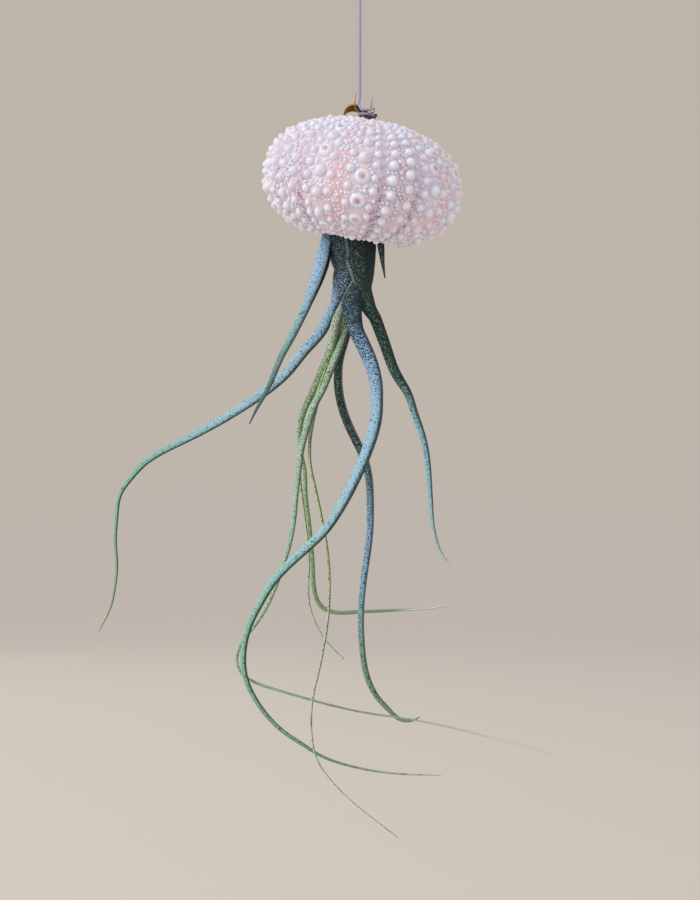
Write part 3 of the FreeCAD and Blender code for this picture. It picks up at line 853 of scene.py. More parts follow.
# Each kind of row: its line, degrees off it, start and stagger in pitches, the lowest and highest
# pitch and size in mm, the sides of a boss, and whether some have lost their tip.
row_kinds = [
    (wide_bearing, 12.6, 0.4, 0, (3.2, 8.2), (1.2, 2.4), 16, True),
    (narrow_bearing, 5.3, 0, 0.5, (2.5, 5.5), (0.95, 1.95), 14, False),
    (wide_bearing, 19.9, 0.2, 0.5, (2.5, 5.0), (0.8, 1.6), 12, False),
    (wide_bearing, 5.6, 0.3, 0.5, (2.6, 6.4), (0.75, 1.7), 12, False),
]
for field in range(field_count):
    for side in (-1, 1):
        for line_bearing, off_deg, start, stagger, pitch, size, sides, worn in row_kinds:
            boss_row(line_bearing + field * field_step, off_deg * side, start + stagger * (side > 0),
                     pitch, size, sides, worn)
print("bosses in rows:", sum(len(row) for row in placed))

# %% [markdown]
# Between the rows the ground is strewn with grains. They are dropped on a loose lattice, and a grain
# that would stand in a larger boss or among the pores is left out.

# %% Grains
grain_pitch = 1.65 * mm
grain_row_share = 0.87
grain_jitter = 0.16
grain_last_room = 0.4 * mm
grain_least, grain_most = 0.45 * mm, 0.92 * mm
grain_room_share = 0.75
pore_clear = 0.6
pore_stripe_deg, pore_stripe_half_deg = 11.8, 2.6


def loose_lattice():
    """Bearings and distances of a lattice over the whole shell, each place a little off."""
    rows = np.arange(first_run, outer_length - grain_last_room, grain_pitch * grain_row_share)
    bearing, run = [], []
    for k, row in enumerate(rows):
        reach = on_profile(row, outer_profile[:, 0])
        count = int(2 * math.pi * reach / grain_pitch)
        around = (np.arange(count) + 0.5 * (k % 2)) / count * 2 * math.pi
        bearing.append(around + seed.normal(0, grain_jitter, count) * grain_pitch / reach)
        run.append(row + seed.normal(0, grain_jitter, count) * grain_pitch)
    return np.concatenate(bearing), np.concatenate(run)


def clear_of_bosses(bearing, run, size):
    """Which places lie clear of the bosses already there."""
    taken = np.concatenate(placed)
    middle, _ = shell_place(taken[:, 0], taken[:, 1])
    here, _ = shell_place(bearing, run)
    clear = np.ones(len(bearing), bool)
    for boss, room in zip(middle, taken[:, 2]):
        clear &= np.linalg.norm(here - boss, axis=1) > room + size * grain_room_share
    return clear


grain_bearing, grain_run = loose_lattice()
grain_size = seed.uniform(grain_least, grain_most, len(grain_bearing))
pore_stripe = zone_mask(grain_bearing, narrow_bearing, pore_stripe_deg, pore_stripe_half_deg)
keep = clear_of_bosses(grain_bearing, grain_run, grain_size) & (pore_stripe < pore_clear)
grain_warm = seed.uniform(0.2, 1, len(grain_bearing))[keep]
small_bosses.add(grain_bearing[keep], grain_run[keep], grain_size[keep], grain_profile, 8,
                 warm=lambda k, reach: np.full(reach.shape, grain_warm[k]))
print("grains:", int(keep.sum()))

# %% [markdown]
# The tube feet's pores come in pairs, set in short slanting arcs of four along both sides of each
# narrow row. They are tiny craters with a wine-red floor, darker towards the mouth, which is partly the
# rims' own colour and partly painted shade for the holes that real pores are.

# %% Pores
arc_pitch = 4.3 * mm
pairs_per_arc = 4
first_arc = 2.5 * mm
last_arc_room = 3.5 * mm
arc_share = 0.78
arc_near_deg = 9.4
arc_slant_deg = 4.4
arc_bow = 1.4
pair_half_gap = 0.52 * mm
pair_slant = 0.12 * mm
pore_size = 0.47 * mm
dark_from, dark_over, least_dark = 0.3, 0.35, 0.25
pit_edge, pit_fade = 1.15, 0.2


def pore_places():
    """Bearings and distances of all the pores."""
    bearing, run = [], []
    for field in range(field_count):
        for side in (-1, 1):
            middle = narrow_bearing + field * field_step
            for start in np.arange(first_arc, outer_length - last_arc_room, arc_pitch):
                for pair in range(pairs_per_arc):
                    share = pair / (pairs_per_arc - 1)
                    here = start + share * arc_share * arc_pitch
                    off = math.radians(arc_near_deg + arc_slant_deg * share ** arc_bow)
                    gap = pair_half_gap / on_profile(here, outer_profile[:, 0])
                    for half in (-1, 1):
                        bearing.append(middle + side * off + half * gap)
                        run.append(here + half * side * pair_slant)
    return np.array(bearing), np.array(run)


pore_bearing, pore_run = pore_places()
# Painted shade: the dark pit stands in for the shade inside each pore's hole, tinted wine-red and darker
# towards the mouth.
pore_dark = np.clip((pore_run / outer_length - dark_from) / dark_over, least_dark, 1)
pore_dark = pore_dark * seed.uniform(0.55, 1, len(pore_run))
pores = Bosses()
pores.add(pore_bearing, pore_run, pore_size, pore_profile, 8,
          pit=lambda k, reach: pore_dark[k] * np.clip((pit_edge - reach) / pit_fade, 0, 1))
large_bosses.finish("urchin_shell_bosses")
small_bosses.finish("urchin_shell_grains")
pores.finish("urchin_shell_pores")

# %% [markdown]
# The leaves of this plant are sheets rolled into tapering tubes. At the bulb a leaf is a wide sheath
# that wraps round the younger ones, and further out its edges roll in until only a groove is left. So
# one kind of section does for both: an arc with a wall, open between its two edges.

# %% Rolled leaf
span = 75.7 * mm
mouth_drop = 108.3 * mm
section_step = 0.7 * mm
least_sections = 12
# Painted light: the way toward the key lamp, to the left, front and up. Leaves are painted paler and
# frostier on the side that faces it, and darker on the far side as painted shade.
painted_light_way = unit(np.array([-0.80, -0.35, 0.45]))
outer_points = 22
inner_points = 14
out_share = np.linspace(0, 1, outer_points)
in_share = np.linspace(1, 0, inner_points)
outer_lip = 0.18
inner_lip = 0.35


def plant_place(side, down, depth):
    """A place in the plant from shares of its span, spread out with depth as the eye saw it."""
    y = depth * span
    widen = 1 + y / eye_distance
    return np.stack([side * span * widen, y, -eye_drop - (mouth_drop + down * span - eye_drop) * widen], -1)


def spline_through(marks, values, wanted):
    """A smooth curve through values at marks, the natural cubic spline, read at the wanted marks."""
    gap = np.diff(marks)
    count = len(marks)
    system = np.eye(count)
    right = np.zeros_like(values)
    for k in range(1, count - 1):
        system[k, k - 1:k + 2] = [gap[k - 1], 2 * (gap[k - 1] + gap[k]), gap[k]]
        right[k] = 6 * ((values[k + 1] - values[k]) / gap[k] - (values[k] - values[k - 1]) / gap[k - 1])
    bend = np.linalg.solve(system, right)
    spot = np.clip(np.searchsorted(marks, wanted) - 1, 0, count - 2)
    width = gap[spot][:, None]
    high = (wanted - marks[spot])[:, None] / width
    low = 1 - high
    curve = low * values[spot] + high * values[spot + 1]
    return curve + ((low**3 - low) * bend[spot] + (high**3 - high) * bend[spot + 1]) * width**2 / 6


def leaf_section(first, second, wall):
    """Bearings and depths of the section's points, for each place along a leaf.

    The section runs along its outer face and back along its inner one, and both lips are rounded.
    """
    bearing = first[:, None] + (second - first)[:, None] * np.concatenate([out_share, in_share])
    inner = 1 - wall[:, None] * np.ones(inner_points)
    inner[:, [0, -1]] += inner_lip * wall[:, None]
    depth = np.concatenate([np.ones((len(wall), outer_points)), inner], 1)
    depth[:, [0, outer_points - 1]] -= outer_lip * wall[:, None]
    return np.radians(bearing), depth


def rolled_leaf(name, rows, rolls, finish, slot_name, node, place=plant_place, unit_width=span):
    """One leaf: rows of side, down, depth and width, and rolls of row, two edge bearings and wall."""
    rows = np.array(rows, float)
    rolls = np.array(rolls, float)
    spots = place(rows[:, 0], rows[:, 1], rows[:, 2])
    marks = length_along(spots)
    steps = np.linspace(0, marks[-1], max(least_sections, int(marks[-1] / section_step)))
    line = spline_through(marks, spots, steps)
    radius = np.interp(steps, marks, rows[:, 3] * unit_width / 2)
    row_number = np.interp(steps, marks, np.arange(len(rows)))
    first, second, wall = [np.interp(row_number, rolls[:, 0], rolls[:, k]) for k in (1, 2, 3)]
    angle, depth = leaf_section(first, second, wall)
    reach = radius[:, None] * depth
    heading = headings(line)
    facing = unit(toward_front - heading * (heading @ toward_front)[:, None])
    beside = np.cross(facing, heading)
    outward = np.cos(angle)[..., None] * facing[:, None] + np.sin(angle)[..., None] * beside[:, None]
    skin = line[:, None] + reach[..., None] * outward
    points = np.concatenate([skin.reshape(-1, 3), line[:1], line[-1:]])
    faces = tube_faces(len(line), outer_points + inner_points)
    fields = leaf_fields(length_along(line), reach, angle, outward)
    print(name, "length in mm:", round(marks[-1] / mm), "faces:", len(faces))
    return add_piece(name, points, faces, finish, "plant", node, slot_name, **fields)


def leaf_fields(run, reach, angle, outward):
    """What a leaf's material reads: its own measure in mm, and four shares from 0 to 1.

    along runs from base to tip, edge is 1 at the two lips, fold is 1 inside the groove, and the fourth,
    the painted light share, is high on the side toward the key lamp, where the leaf is painted lit and
    frostier, and low on the far side, which is painted in shade.
    """
    grown = np.stack([reach * np.cos(angle), reach * np.sin(angle), run[:, None] + 0 * reach], -1)
    grown = np.concatenate([grown.reshape(-1, 3), [[0, 0, 0], [0, 0, run[-1]]]]) / mm
    edge_share = np.concatenate([np.abs(out_share - 0.5) * 2, np.ones(inner_points)])
    hidden = np.concatenate([np.zeros(outer_points), np.ones(inner_points)])
    along = with_ends(np.repeat(run / run[-1], reach.shape[1]), 0, 1)
    return {"grown": grown, "along": along, "edge": with_ends(np.tile(edge_share, len(run)), 1, 1),
            "fold": with_ends(np.tile(hidden, len(run)), 1, 1),
            "pale": with_ends(np.clip(0.5 + 0.6 * outward @ painted_light_way, 0, 1), 0.5, 0.5)}


# %% [markdown]
# This plant's skin is mottled like a lizard's: dark spots, drawn out across the leaf, that almost meet
# at the bulb and thin out towards the tips. Silvery scales frost what lies between. The side toward the
# key lamp is painted paler and frostier as painted light, and the far side darker as painted shade. The
# pattern is drawn in the leaf's own measure, as if it were unrolled straight, so it never smears round a
# bend.

# %% Leaf finish
blot_scale = 1.45
fine_scale = 3.3
frost_scale = 6.0
across_leaf = (1, 1, 1.7)
spot_low, spot_high = 0.475, 0.545


def leaf_look(skin_stops, spot_stops, spot_shade, painted_side_shade, painted_groove_shade, scale=1.0):
    """A mottled skin. Both lists of stops run from the leaf's base to its tip."""
    def look(base):
        grown = base.attribute("grown", "Vector")
        along = base.attribute("along")
        pale = base.attribute("pale")
        groove = base.attribute("fold")
        skin = along.ramp([(place, colour(code)) for place, code in skin_stops])
        cover = along.ramp([(place, (share, share, share, 1)) for place, share in spot_stops])
        blots = grown.stretch(across_leaf).noise(blot_scale * scale, 1.0)
        fine = grown.stretch(across_leaf).noise(fine_scale * scale, 1.0)
        spots = blots * 0.7 + fine * 0.3 + cover * 0.26 - pale * 0.05 - 0.105
        spots = spots.rise(spot_low, spot_high)
        frost = grown.noise(frost_scale, 2.0).rise(0.42, 0.65)
        # Painted shade: the side away from the key lamp takes the painted side shade colour.
        shade = (pale.rise(0.32, 0.66) * 0.9 + 0.1).paint(colour(painted_side_shade), skin)
        # The frost is the leaf's own silvery scales, but it is painted mostly on the lit side, so it is
        # partly painted light.
        shade = (frost * pale * 0.4).paint(shade, colour("d5e6f0"))
        shade = (spots * 0.95).paint(shade, colour(spot_shade))
        shade = (frost * spots * 0.12).paint(shade, colour("8fa3a4"))
        # Painted shade: inside the rolled groove the leaf is painted dark.
        shade = (groove * 0.8).paint(shade, colour(painted_groove_shade))
        edge = base.attribute("edge").rise(0.88, 0.97) * (1 - groove)
        shade = (edge * 0.75).paint(shade, colour("9ba1a2"))
        surface(base, shade, 0.62, frost * 0.5 - spots * 0.5, 0.12 * mm, Specular_IOR_Level=0.2)
    return look


sky_leaf = material("sky_leaf", leaf_look(
    [(0.0, "9cc6f0"), (0.3, "a2cfec"), (0.6, "86bdb4"), (0.8, "4f7f70"), (1.0, "2c4a3c")],
    [(0.0, 0.40), (0.3, 0.28), (0.7, 0.2), (1.0, 0.0)], "20404f", "16282a", "141f1a"))
blue_leaf = material("blue_leaf", leaf_look(
    [(0.0, "648a8c"), (0.07, "6a9098"), (0.13, "a2ccf2"), (0.45, "a6d6e4"), (0.7, "8cc8a8"),
     (0.85, "8abc92"), (1.0, "a9bd94")],
    [(0.0, 0.94), (0.08, 0.88), (0.13, 0.50), (0.18, 0.36), (0.4, 0.26), (0.7, 0.2), (1.0, 0.0)],
    "11222a", "18302c", "141f1a"))
front_leaf = material("front_leaf", leaf_look(
    [(0.0, "648a8a"), (0.06, "6a9098"), (0.13, "98c4ee"), (0.3, "aadcf4"), (0.45, "a8dedc"),
     (0.65, "92ccac"), (0.85, "74a682"), (0.92, "a2bea0"), (1.0, "e2eae0")],
    [(0.0, 0.95), (0.10, 0.85), (0.16, 0.55), (0.22, 0.28), (0.6, 0.20), (0.9, 0.28), (1.0, 0.2)],
    "12242e", "17332b", "141f1a"))
green_leaf = material("green_leaf", leaf_look(
    [(0.0, "6f9c94"), (0.15, "53856f"), (0.42, "72a692"), (0.54, "9fd6ea"), (0.8, "a2d8e0"),
     (1.0, "e2ebe6")],
    [(0.0, 0.90), (0.15, 0.88), (0.40, 0.72), (0.5, 0.40), (0.85, 0.15), (1.0, 0.0)],
    "0d1b1e", "132a22", "0f1a14"))
back_leaf = material("back_leaf", leaf_look(
    [(0.0, "6f9080"), (0.3, "5f8a70"), (0.42, "7098a4"), (0.53, "96c2ec"), (0.68, "92c4d2"),
     (0.8, "78a884"), (1.0, "86a070")],
    [(0.0, 0.88), (0.3, 0.82), (0.38, 0.72), (0.48, 0.46), (0.7, 0.36), (0.9, 0.3), (1.0, 0.0)],
    "0d1b20", "17302a", "111d17"))
hooked_leaf = material("hooked_leaf", leaf_look(
    [(0.0, "e2eee0"), (0.09, "e0f2d8"), (0.2, "cdecbc"), (0.4, "c2e2a8"), (0.6, "9dbb80"),
     (0.88, "8ba374"), (0.92, "e8eee2"), (1.0, "f6f6f4")],
    [(0.0, 0.35), (0.1, 0.52), (0.3, 0.55), (0.7, 0.30), (0.9, 0.1), (1.0, 0.0)],
    "456a3e", "7c9f6c", "3c5228", 1.3))
whip_leaf = material("whip_leaf", leaf_look(
    [(0.0, "c6d884"), (0.4, "cfdf96"), (0.7, "dbe6b8"), (1.0, "e6ecd4")],
    [(0.0, 0.36), (1.0, 0.36)], "6d8c4c", "9dbb6c", "4a5c30", 0.8))
light_leaf = material("light_leaf", leaf_look(
    [(0.0, "c9dcc0"), (0.1, "c2e4bc"), (0.3, "c4e8d2"), (0.55, "c0e0a8"), (0.72, "8aa872"),
     (0.84, "bcd4ae"), (0.9, "dfe9d6"), (1.0, "e6ecda")],
    [(0.0, 0.30), (0.1, 0.48), (0.7, 0.34), (1.0, 0.0)], "4c6e46", "688c5c", "3a4c28", 1.4))

# %% [markdown]
# The bulb hides in the leaves' sheaths below and in the shell above. It is near black with grey-green
# flecks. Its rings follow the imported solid's, drawn in a little, so that the sheaths can lie on it.

# %% Bulb
bulb_sides = 64
bulb_rows = [
    (-0.028, -0.030, 0.014, 0.206), (-0.028, 0.060, 0.012, 0.192), (-0.028, 0.130, 0.010, 0.160),
    (-0.030, 0.190, 0.012, 0.132), (-0.034, 0.240, 0.016, 0.094), (-0.036, 0.275, 0.018, 0.002),
]
bulb_shell_rows = [(0.86, 0.145), (0.80, 0.190), (0.60, 0.212), (0.35, 0.218), (0.0, 0.216)]


def bulb_rings():
    """The bulb's middles and widths from the top down, smoothed."""
    upper = [shell_centre + shell_up * share * solid_rise for share, _ in bulb_shell_rows]
    rows = np.array(bulb_rows)
    middles = np.concatenate([upper, plant_place(rows[:, 0], rows[:, 1], rows[:, 2])])
    widths = np.array([width for _, width in bulb_shell_rows] + [row[3] for row in bulb_rows]) * span
    marks = length_along(middles)
    wanted = np.linspace(0, marks[-1], 60)
    return spline_through(marks, middles, wanted), np.interp(wanted, marks, widths)


middles, widths = bulb_rings()
reach = np.repeat(widths[:, None] / 2, bulb_sides, axis=1)
points = round_skin(middles, reach, full_turn(bulb_sides))
faces = tube_faces(len(middles), bulb_sides, turned=True)
none = np.zeros(len(points))
bulb_skin = material("bulb_skin", leaf_look(
    [(0.0, "7f9c9a"), (1.0, "7f9c9a")], [(0.0, 0.8), (1.0, 0.8)], "10191d", "2c433e", "0d1312"))
# The bulb takes a middle share of painted light all round, so about half of its skin is mixed with the
# painted side shade colour.
add_piece("bulb_skin_flecked", points, faces, bulb_skin, "plant", "bulb_core", "bulb",
          grown=points / mm, along=none, edge=none, fold=none, pale=none + 0.5)
print("bulb at its widest in mm:", round(widths.max() / mm, 1))

# %% [markdown]
# Ten leaves follow, from the outside in. Each has its line, judged from the photograph, and its rolls:
# at a row's number, the two edges' bearings about the leaf, where 0 faces the front and 90 the right,
# and the wall as a share of the radius. The two leaves on the left come first.

# %% Left leaves
left_short_rows = [
    (-0.126, -0.160, 0.016, 0.045), (-0.150, -0.090, 0.004, 0.056), (-0.164, -0.020, -0.020, 0.068),
    (-0.185, 0.080, -0.055, 0.080), (-0.217, 0.175, -0.095, 0.071), (-0.255, 0.270, -0.135, 0.053),
    (-0.300, 0.370, -0.175, 0.045), (-0.350, 0.470, -0.215, 0.040), (-0.395, 0.555, -0.245, 0.035),
    (-0.460, 0.710, -0.290, 0.026), (-0.515, 0.810, -0.315, 0.017), (-0.555, 0.890, -0.335, 0.006),
]
left_short_rolls = [(0, 130, 400, 0.34), (3, 118, 392, 0.34), (8, 112, 412, 0.5), (11, 112, 420, 0.8)]
rolled_leaf("leaf_left_short_blade", left_short_rows, left_short_rolls, sky_leaf, "blue_leaf",
            "leaf_left_short")

left_long_rows = [
    (-0.056, -0.090, 0.012, 0.240), (-0.048, 0.060, 0.013, 0.204), (-0.050, 0.130, 0.015, 0.168),
    (-0.070, 0.180, 0.020, 0.150), (-0.094, 0.230, 0.032, 0.098),
    (-0.125, 0.295, 0.050, 0.050), (-0.160, 0.370, 0.064, 0.058), (-0.190, 0.425, 0.076, 0.060),
    (-0.275, 0.525, 0.095, 0.055), (-0.355, 0.625, 0.115, 0.052), (-0.475, 0.730, 0.140, 0.050),
    (-0.655, 0.850, 0.175, 0.045), (-0.820, 0.942, 0.210, 0.042), (-0.985, 1.025, 0.245, 0.038),
    (-1.070, 1.080, 0.265, 0.035), (-1.148, 1.165, 0.285, 0.028), (-1.197, 1.240, 0.300, 0.023),
    (-1.215, 1.350, 0.315, 0.020), (-1.222, 1.475, 0.325, 0.018), (-1.215, 1.600, 0.330, 0.017),
    (-1.225, 1.705, 0.330, 0.015), (-1.243, 1.795, 0.325, 0.012), (-1.305, 1.925, 0.310, 0.006),
]
left_long_rolls = [(0, -165, -8, 0.06), (2, -172, 4, 0.08), (3, -180, 34, 0.12), (5, -230, 66, 0.34),
                   (9, -235, 72, 0.36), (15, -235, 85, 0.55), (22, -235, 90, 0.8)]
rolled_leaf("leaf_left_long_blade", left_long_rows, left_long_rolls, blue_leaf, "blue_leaf",
            "leaf_left_long")

# %% [markdown]
# The right leaf's sheath wraps most of the bulb, and its free edge runs down across the front. The front
# leaf comes out from under it, and the two edges cross. The front leaf is the long blue one.

# %% Front and right leaves
right_rows = [
    (-0.028, -0.060, 0.012, 0.222), (-0.028, 0.010, 0.012, 0.218), (-0.026, 0.080, 0.012, 0.206),
    (-0.022, 0.145, 0.011, 0.188), (-0.014, 0.195, 0.010, 0.164), (0.004, 0.240, 0.010, 0.124),
    (0.028, 0.280, 0.011, 0.092), (0.048, 0.320, 0.014, 0.074),
    (0.068, 0.350, 0.020, 0.065), (0.090, 0.400, 0.028, 0.062), (0.135, 0.525, 0.050, 0.057),
    (0.180, 0.640, 0.075, 0.053), (0.240, 0.740, 0.100, 0.043), (0.268, 0.820, 0.120, 0.038),
    (0.295, 0.895, 0.140, 0.035), (0.320, 0.975, 0.155, 0.032), (0.340, 1.095, 0.175, 0.031),
    (0.350, 1.215, 0.190, 0.026), (0.356, 1.300, 0.200, 0.023), (0.362, 1.375, 0.205, 0.020),
    (0.377, 1.455, 0.210, 0.018), (0.405, 1.535, 0.215, 0.015), (0.457, 1.600, 0.215, 0.010),
    (0.515, 1.645, 0.210, 0.006),
]
right_rolls = [(0, -42, 151, 0.06), (2, -28, 150, 0.07), (3, -17, 150, 0.08), (4, -12, 154, 0.10),
               (5, -24, 170, 0.16), (6, -52, 196, 0.24), (7, -80, 218, 0.34), (12, -88, 226, 0.36),
               (18, -95, 215, 0.55), (23, -100, 212, 0.8)]
rolled_leaf("leaf_right_blade", right_rows, right_rolls, green_leaf, "green_leaf", "leaf_right")

front_rows = [
    (-0.030, 0.060, 0.008, 0.188), (-0.032, 0.130, 0.006, 0.170), (-0.036, 0.190, 0.000, 0.146),
    (-0.040, 0.240, -0.012, 0.126), (-0.044, 0.300, -0.030, 0.112),
    (-0.035, 0.360, -0.056, 0.090), (-0.020, 0.420, -0.076, 0.076), (0.005, 0.475, -0.095, 0.074),
    (0.050, 0.575, -0.130, 0.070), (0.078, 0.680, -0.165, 0.065), (0.085, 0.770, -0.190, 0.058),
    (0.075, 0.885, -0.215, 0.060), (0.042, 1.000, -0.230, 0.057), (-0.003, 1.115, -0.235, 0.053),
    (-0.058, 1.230, -0.225, 0.052), (-0.123, 1.345, -0.200, 0.048), (-0.172, 1.415, -0.180, 0.046),
    (-0.257, 1.500, -0.150, 0.045), (-0.355, 1.590, -0.120, 0.042), (-0.428, 1.670, -0.095, 0.039),
    (-0.500, 1.785, -0.070, 0.037), (-0.555, 1.900, -0.045, 0.034), (-0.582, 2.020, -0.020, 0.031),
    (-0.572, 2.160, 0.005, 0.028), (-0.525, 2.265, 0.025, 0.025), (-0.455, 2.360, 0.045, 0.023),
    (-0.367, 2.440, 0.060, 0.021), (-0.282, 2.495, 0.075, 0.019), (-0.220, 2.535, 0.085, 0.016),
    (-0.065, 2.595, 0.100, 0.012), (0.155, 2.635, 0.115, 0.009), (0.405, 2.645, 0.125, 0.006),
]
front_rolls = [(0, 16, 150, 0.08), (1, 8, 162, 0.08), (2, -4, 178, 0.12), (3, -30, 204, 0.16),
               (4, -72, 230, 0.24), (5, -100, 232, 0.32), (8, -108, 236, 0.36), (20, -110, 232, 0.5),
               (29, -110, 230, 0.8)]
rolled_leaf("leaf_front_blade", front_rows, front_rolls, front_leaf, "blue_leaf", "leaf_front")

# %% [markdown]
# The younger leaves come out of the crown and hang behind and beside the front one. The pale one swings
# far out to the right at its tip, the hooked one turns sharply, and the whip is hardly thicker than
# thread.

# %% Inner leaves
back_rows = [
    (-0.028, 0.240, 0.020, 0.028), (-0.036, 0.310, 0.060, 0.030), (-0.048, 0.380, 0.096, 0.032),
    (-0.070, 0.470, 0.122, 0.034), (-0.098, 0.560, 0.142, 0.040), (-0.109, 0.650, 0.150, 0.045),
    (-0.095, 0.780, 0.155, 0.045), (-0.043, 0.925, 0.150, 0.044), (0.010, 1.035, 0.140, 0.042),
    (0.037, 1.115, 0.130, 0.040), (0.052, 1.270, 0.115, 0.038), (0.049, 1.440, 0.102, 0.036),
    (0.030, 1.590, 0.094, 0.035), (0.008, 1.785, 0.086, 0.032), (0.012, 2.015, 0.086, 0.031),
    (0.042, 2.170, 0.090, 0.030), (0.090, 2.260, 0.098, 0.027), (0.140, 2.315, 0.106, 0.025),
    (0.190, 2.360, 0.114, 0.021), (0.240, 2.375, 0.120, 0.014), (0.300, 2.355, 0.126, 0.006),
]
rolled_leaf("leaf_back_blade", back_rows, [(0, 85, 415, 0.4), (8, 85, 415, 0.36), (20, 90, 425, 0.8)],
            back_leaf, "green_leaf", "leaf_back")

light_rows = [
    (-0.040, 0.240, 0.010, 0.028), (-0.052, 0.330, 0.024, 0.032), (-0.068, 0.400, 0.032, 0.034),
    (-0.098, 0.500, 0.036, 0.036), (-0.152, 0.635, 0.038, 0.036), (-0.192, 0.730, 0.038, 0.036),
    (-0.232, 0.805, 0.038, 0.037), (-0.257, 0.880, 0.038, 0.039), (-0.290, 1.000, 0.036, 0.035),
    (-0.305, 1.115, 0.034, 0.030), (-0.318, 1.230, 0.032, 0.028), (-0.328, 1.345, 0.030, 0.027),
    (-0.355, 1.500, 0.032, 0.025), (-0.390, 1.615, 0.036, 0.022), (-0.450, 1.770, 0.044, 0.020),
    (-0.520, 1.890, 0.052, 0.018), (-0.575, 1.960, 0.056, 0.017), (-0.613, 2.040, 0.058, 0.017),
    (-0.603, 2.120, 0.056, 0.016), (-0.555, 2.165, 0.050, 0.015), (-0.430, 2.215, 0.034, 0.014),
    (-0.240, 2.270, 0.008, 0.012), (0.010, 2.330, -0.028, 0.010), (0.230, 2.363, -0.062, 0.009),
    (0.600, 2.443, -0.115, 0.008), (0.960, 2.540, -0.165, 0.006),
]
rolled_leaf("leaf_light_blade", light_rows, [(0, 95, 400, 0.5), (8, 100, 405, 0.5), (25, 110, 420, 0.8)],
            light_leaf, "light_leaf", "leaf_light")

hooked_rows = [
    (-0.060, 0.240, -0.010, 0.030), (-0.091, 0.308, -0.012, 0.038), (-0.108, 0.350, -0.006, 0.049),
    (-0.121, 0.400, 0.012, 0.056), (-0.130, 0.460, 0.050, 0.055), (-0.154, 0.545, 0.105, 0.050),
    (-0.199, 0.650, 0.155, 0.043), (-0.236, 0.730, 0.184, 0.037),
    (-0.272, 0.805, 0.200, 0.032), (-0.295, 0.880, 0.212, 0.030), (-0.302, 0.970, 0.226, 0.026),
    (-0.292, 1.050, 0.240, 0.023), (-0.277, 1.120, 0.252, 0.022), (-0.272, 1.230, 0.270, 0.022),
    (-0.258, 1.350, 0.290, 0.022), (-0.245, 1.470, 0.310, 0.022), (-0.235, 1.600, 0.332, 0.023),
    (-0.224, 1.735, 0.354, 0.024), (-0.195, 1.798, 0.366, 0.024), (-0.150, 1.825, 0.374, 0.022),
    (-0.020, 1.830, 0.384, 0.020), (0.095, 1.825, 0.386, 0.017), (0.200, 1.820, 0.382, 0.014),
    (0.320, 1.813, 0.374, 0.013), (0.425, 1.798, 0.362, 0.011),
    (0.440, 1.795, 0.362, 0.004),
]
rolled_leaf("leaf_hooked_blade", hooked_rows, [(0, 85, 415, 0.5), (25, 90, 425, 0.8)],
            hooked_leaf, "green_leaf", "leaf_hooked")

hair_rows = [
    (-0.046, 0.250, 0.020, 0.014), (-0.070, 0.330, 0.056, 0.014), (-0.100, 0.430, 0.086, 0.014),
    (-0.150, 0.560, 0.106, 0.014), (-0.215, 0.740, 0.122, 0.013), (-0.278, 0.950, 0.132, 0.012),
    (-0.300, 1.120, 0.138, 0.012), (-0.290, 1.245, 0.142, 0.012), (-0.265, 1.440, 0.146, 0.011),
    (-0.254, 1.600, 0.150, 0.010), (-0.256, 1.760, 0.152, 0.009), (-0.228, 1.870, 0.152, 0.008),
    (-0.160, 1.985, 0.148, 0.007), (-0.080, 2.065, 0.142, 0.006),
]
rolled_leaf("leaf_hair_blade", hair_rows, [(0, 60, 380, 0.8), (13, 60, 380, 0.9)], whip_leaf,
            "light_leaf", "leaf_hair")

whip_rows = [
    (-0.050, 0.250, 0.014, 0.018), (-0.072, 0.345, 0.046, 0.018), (-0.095, 0.440, 0.066, 0.018),
    (-0.140, 0.570, 0.075, 0.018), (-0.190, 0.710, 0.076, 0.018), (-0.232, 0.860, 0.070, 0.018),
    (-0.252, 1.000, 0.058, 0.018), (-0.248, 1.100, 0.040, 0.017), (-0.225, 1.210, 0.010, 0.017),
    (-0.195, 1.350, -0.030, 0.016), (-0.163, 1.530, -0.056, 0.014), (-0.153, 1.700, -0.066, 0.014),
    (-0.162, 1.870, -0.076, 0.013), (-0.180, 1.990, -0.086, 0.013), (-0.208, 2.130, -0.100, 0.012),
    (-0.240, 2.280, -0.120, 0.011), (-0.245, 2.380, -0.136, 0.010), (-0.240, 2.470, -0.152, 0.009),
    (-0.210, 2.580, -0.172, 0.008), (-0.160, 2.655, -0.186, 0.007), (-0.050, 2.770, -0.208, 0.006),
    (0.060, 2.860, -0.226, 0.006), (0.185, 2.955, -0.244, 0.006),
]
rolled_leaf("leaf_whip_blade", whip_rows, [(0, 60, 380, 0.8), (22, 60, 380, 0.9)], whip_leaf,
            "light_leaf", "leaf_whip")

spike_rows = [
    (0.074, -0.130, 0.016, 0.034), (0.094, -0.060, 0.012, 0.036), (0.106, 0.015, 0.008, 0.034),
    (0.113, 0.080, 0.004, 0.020), (0.125, 0.160, 0.000, 0.006),
]
rolled_leaf("leaf_spike_blade", spike_rows, [(0, -120, 170, 0.3), (4, -120, 190, 0.7)], bulb_skin,
            "green_leaf", "leaf_spike")

# %% [markdown]
# Above the shell the plant has dried out. What is left is a fibrous stub, one arched brown leaf, a tan
# sliver beside the thread and a few scales. The leaf and scales are gutters of thin dead sheet, so the
# rolled leaf makes them too, only wide open.

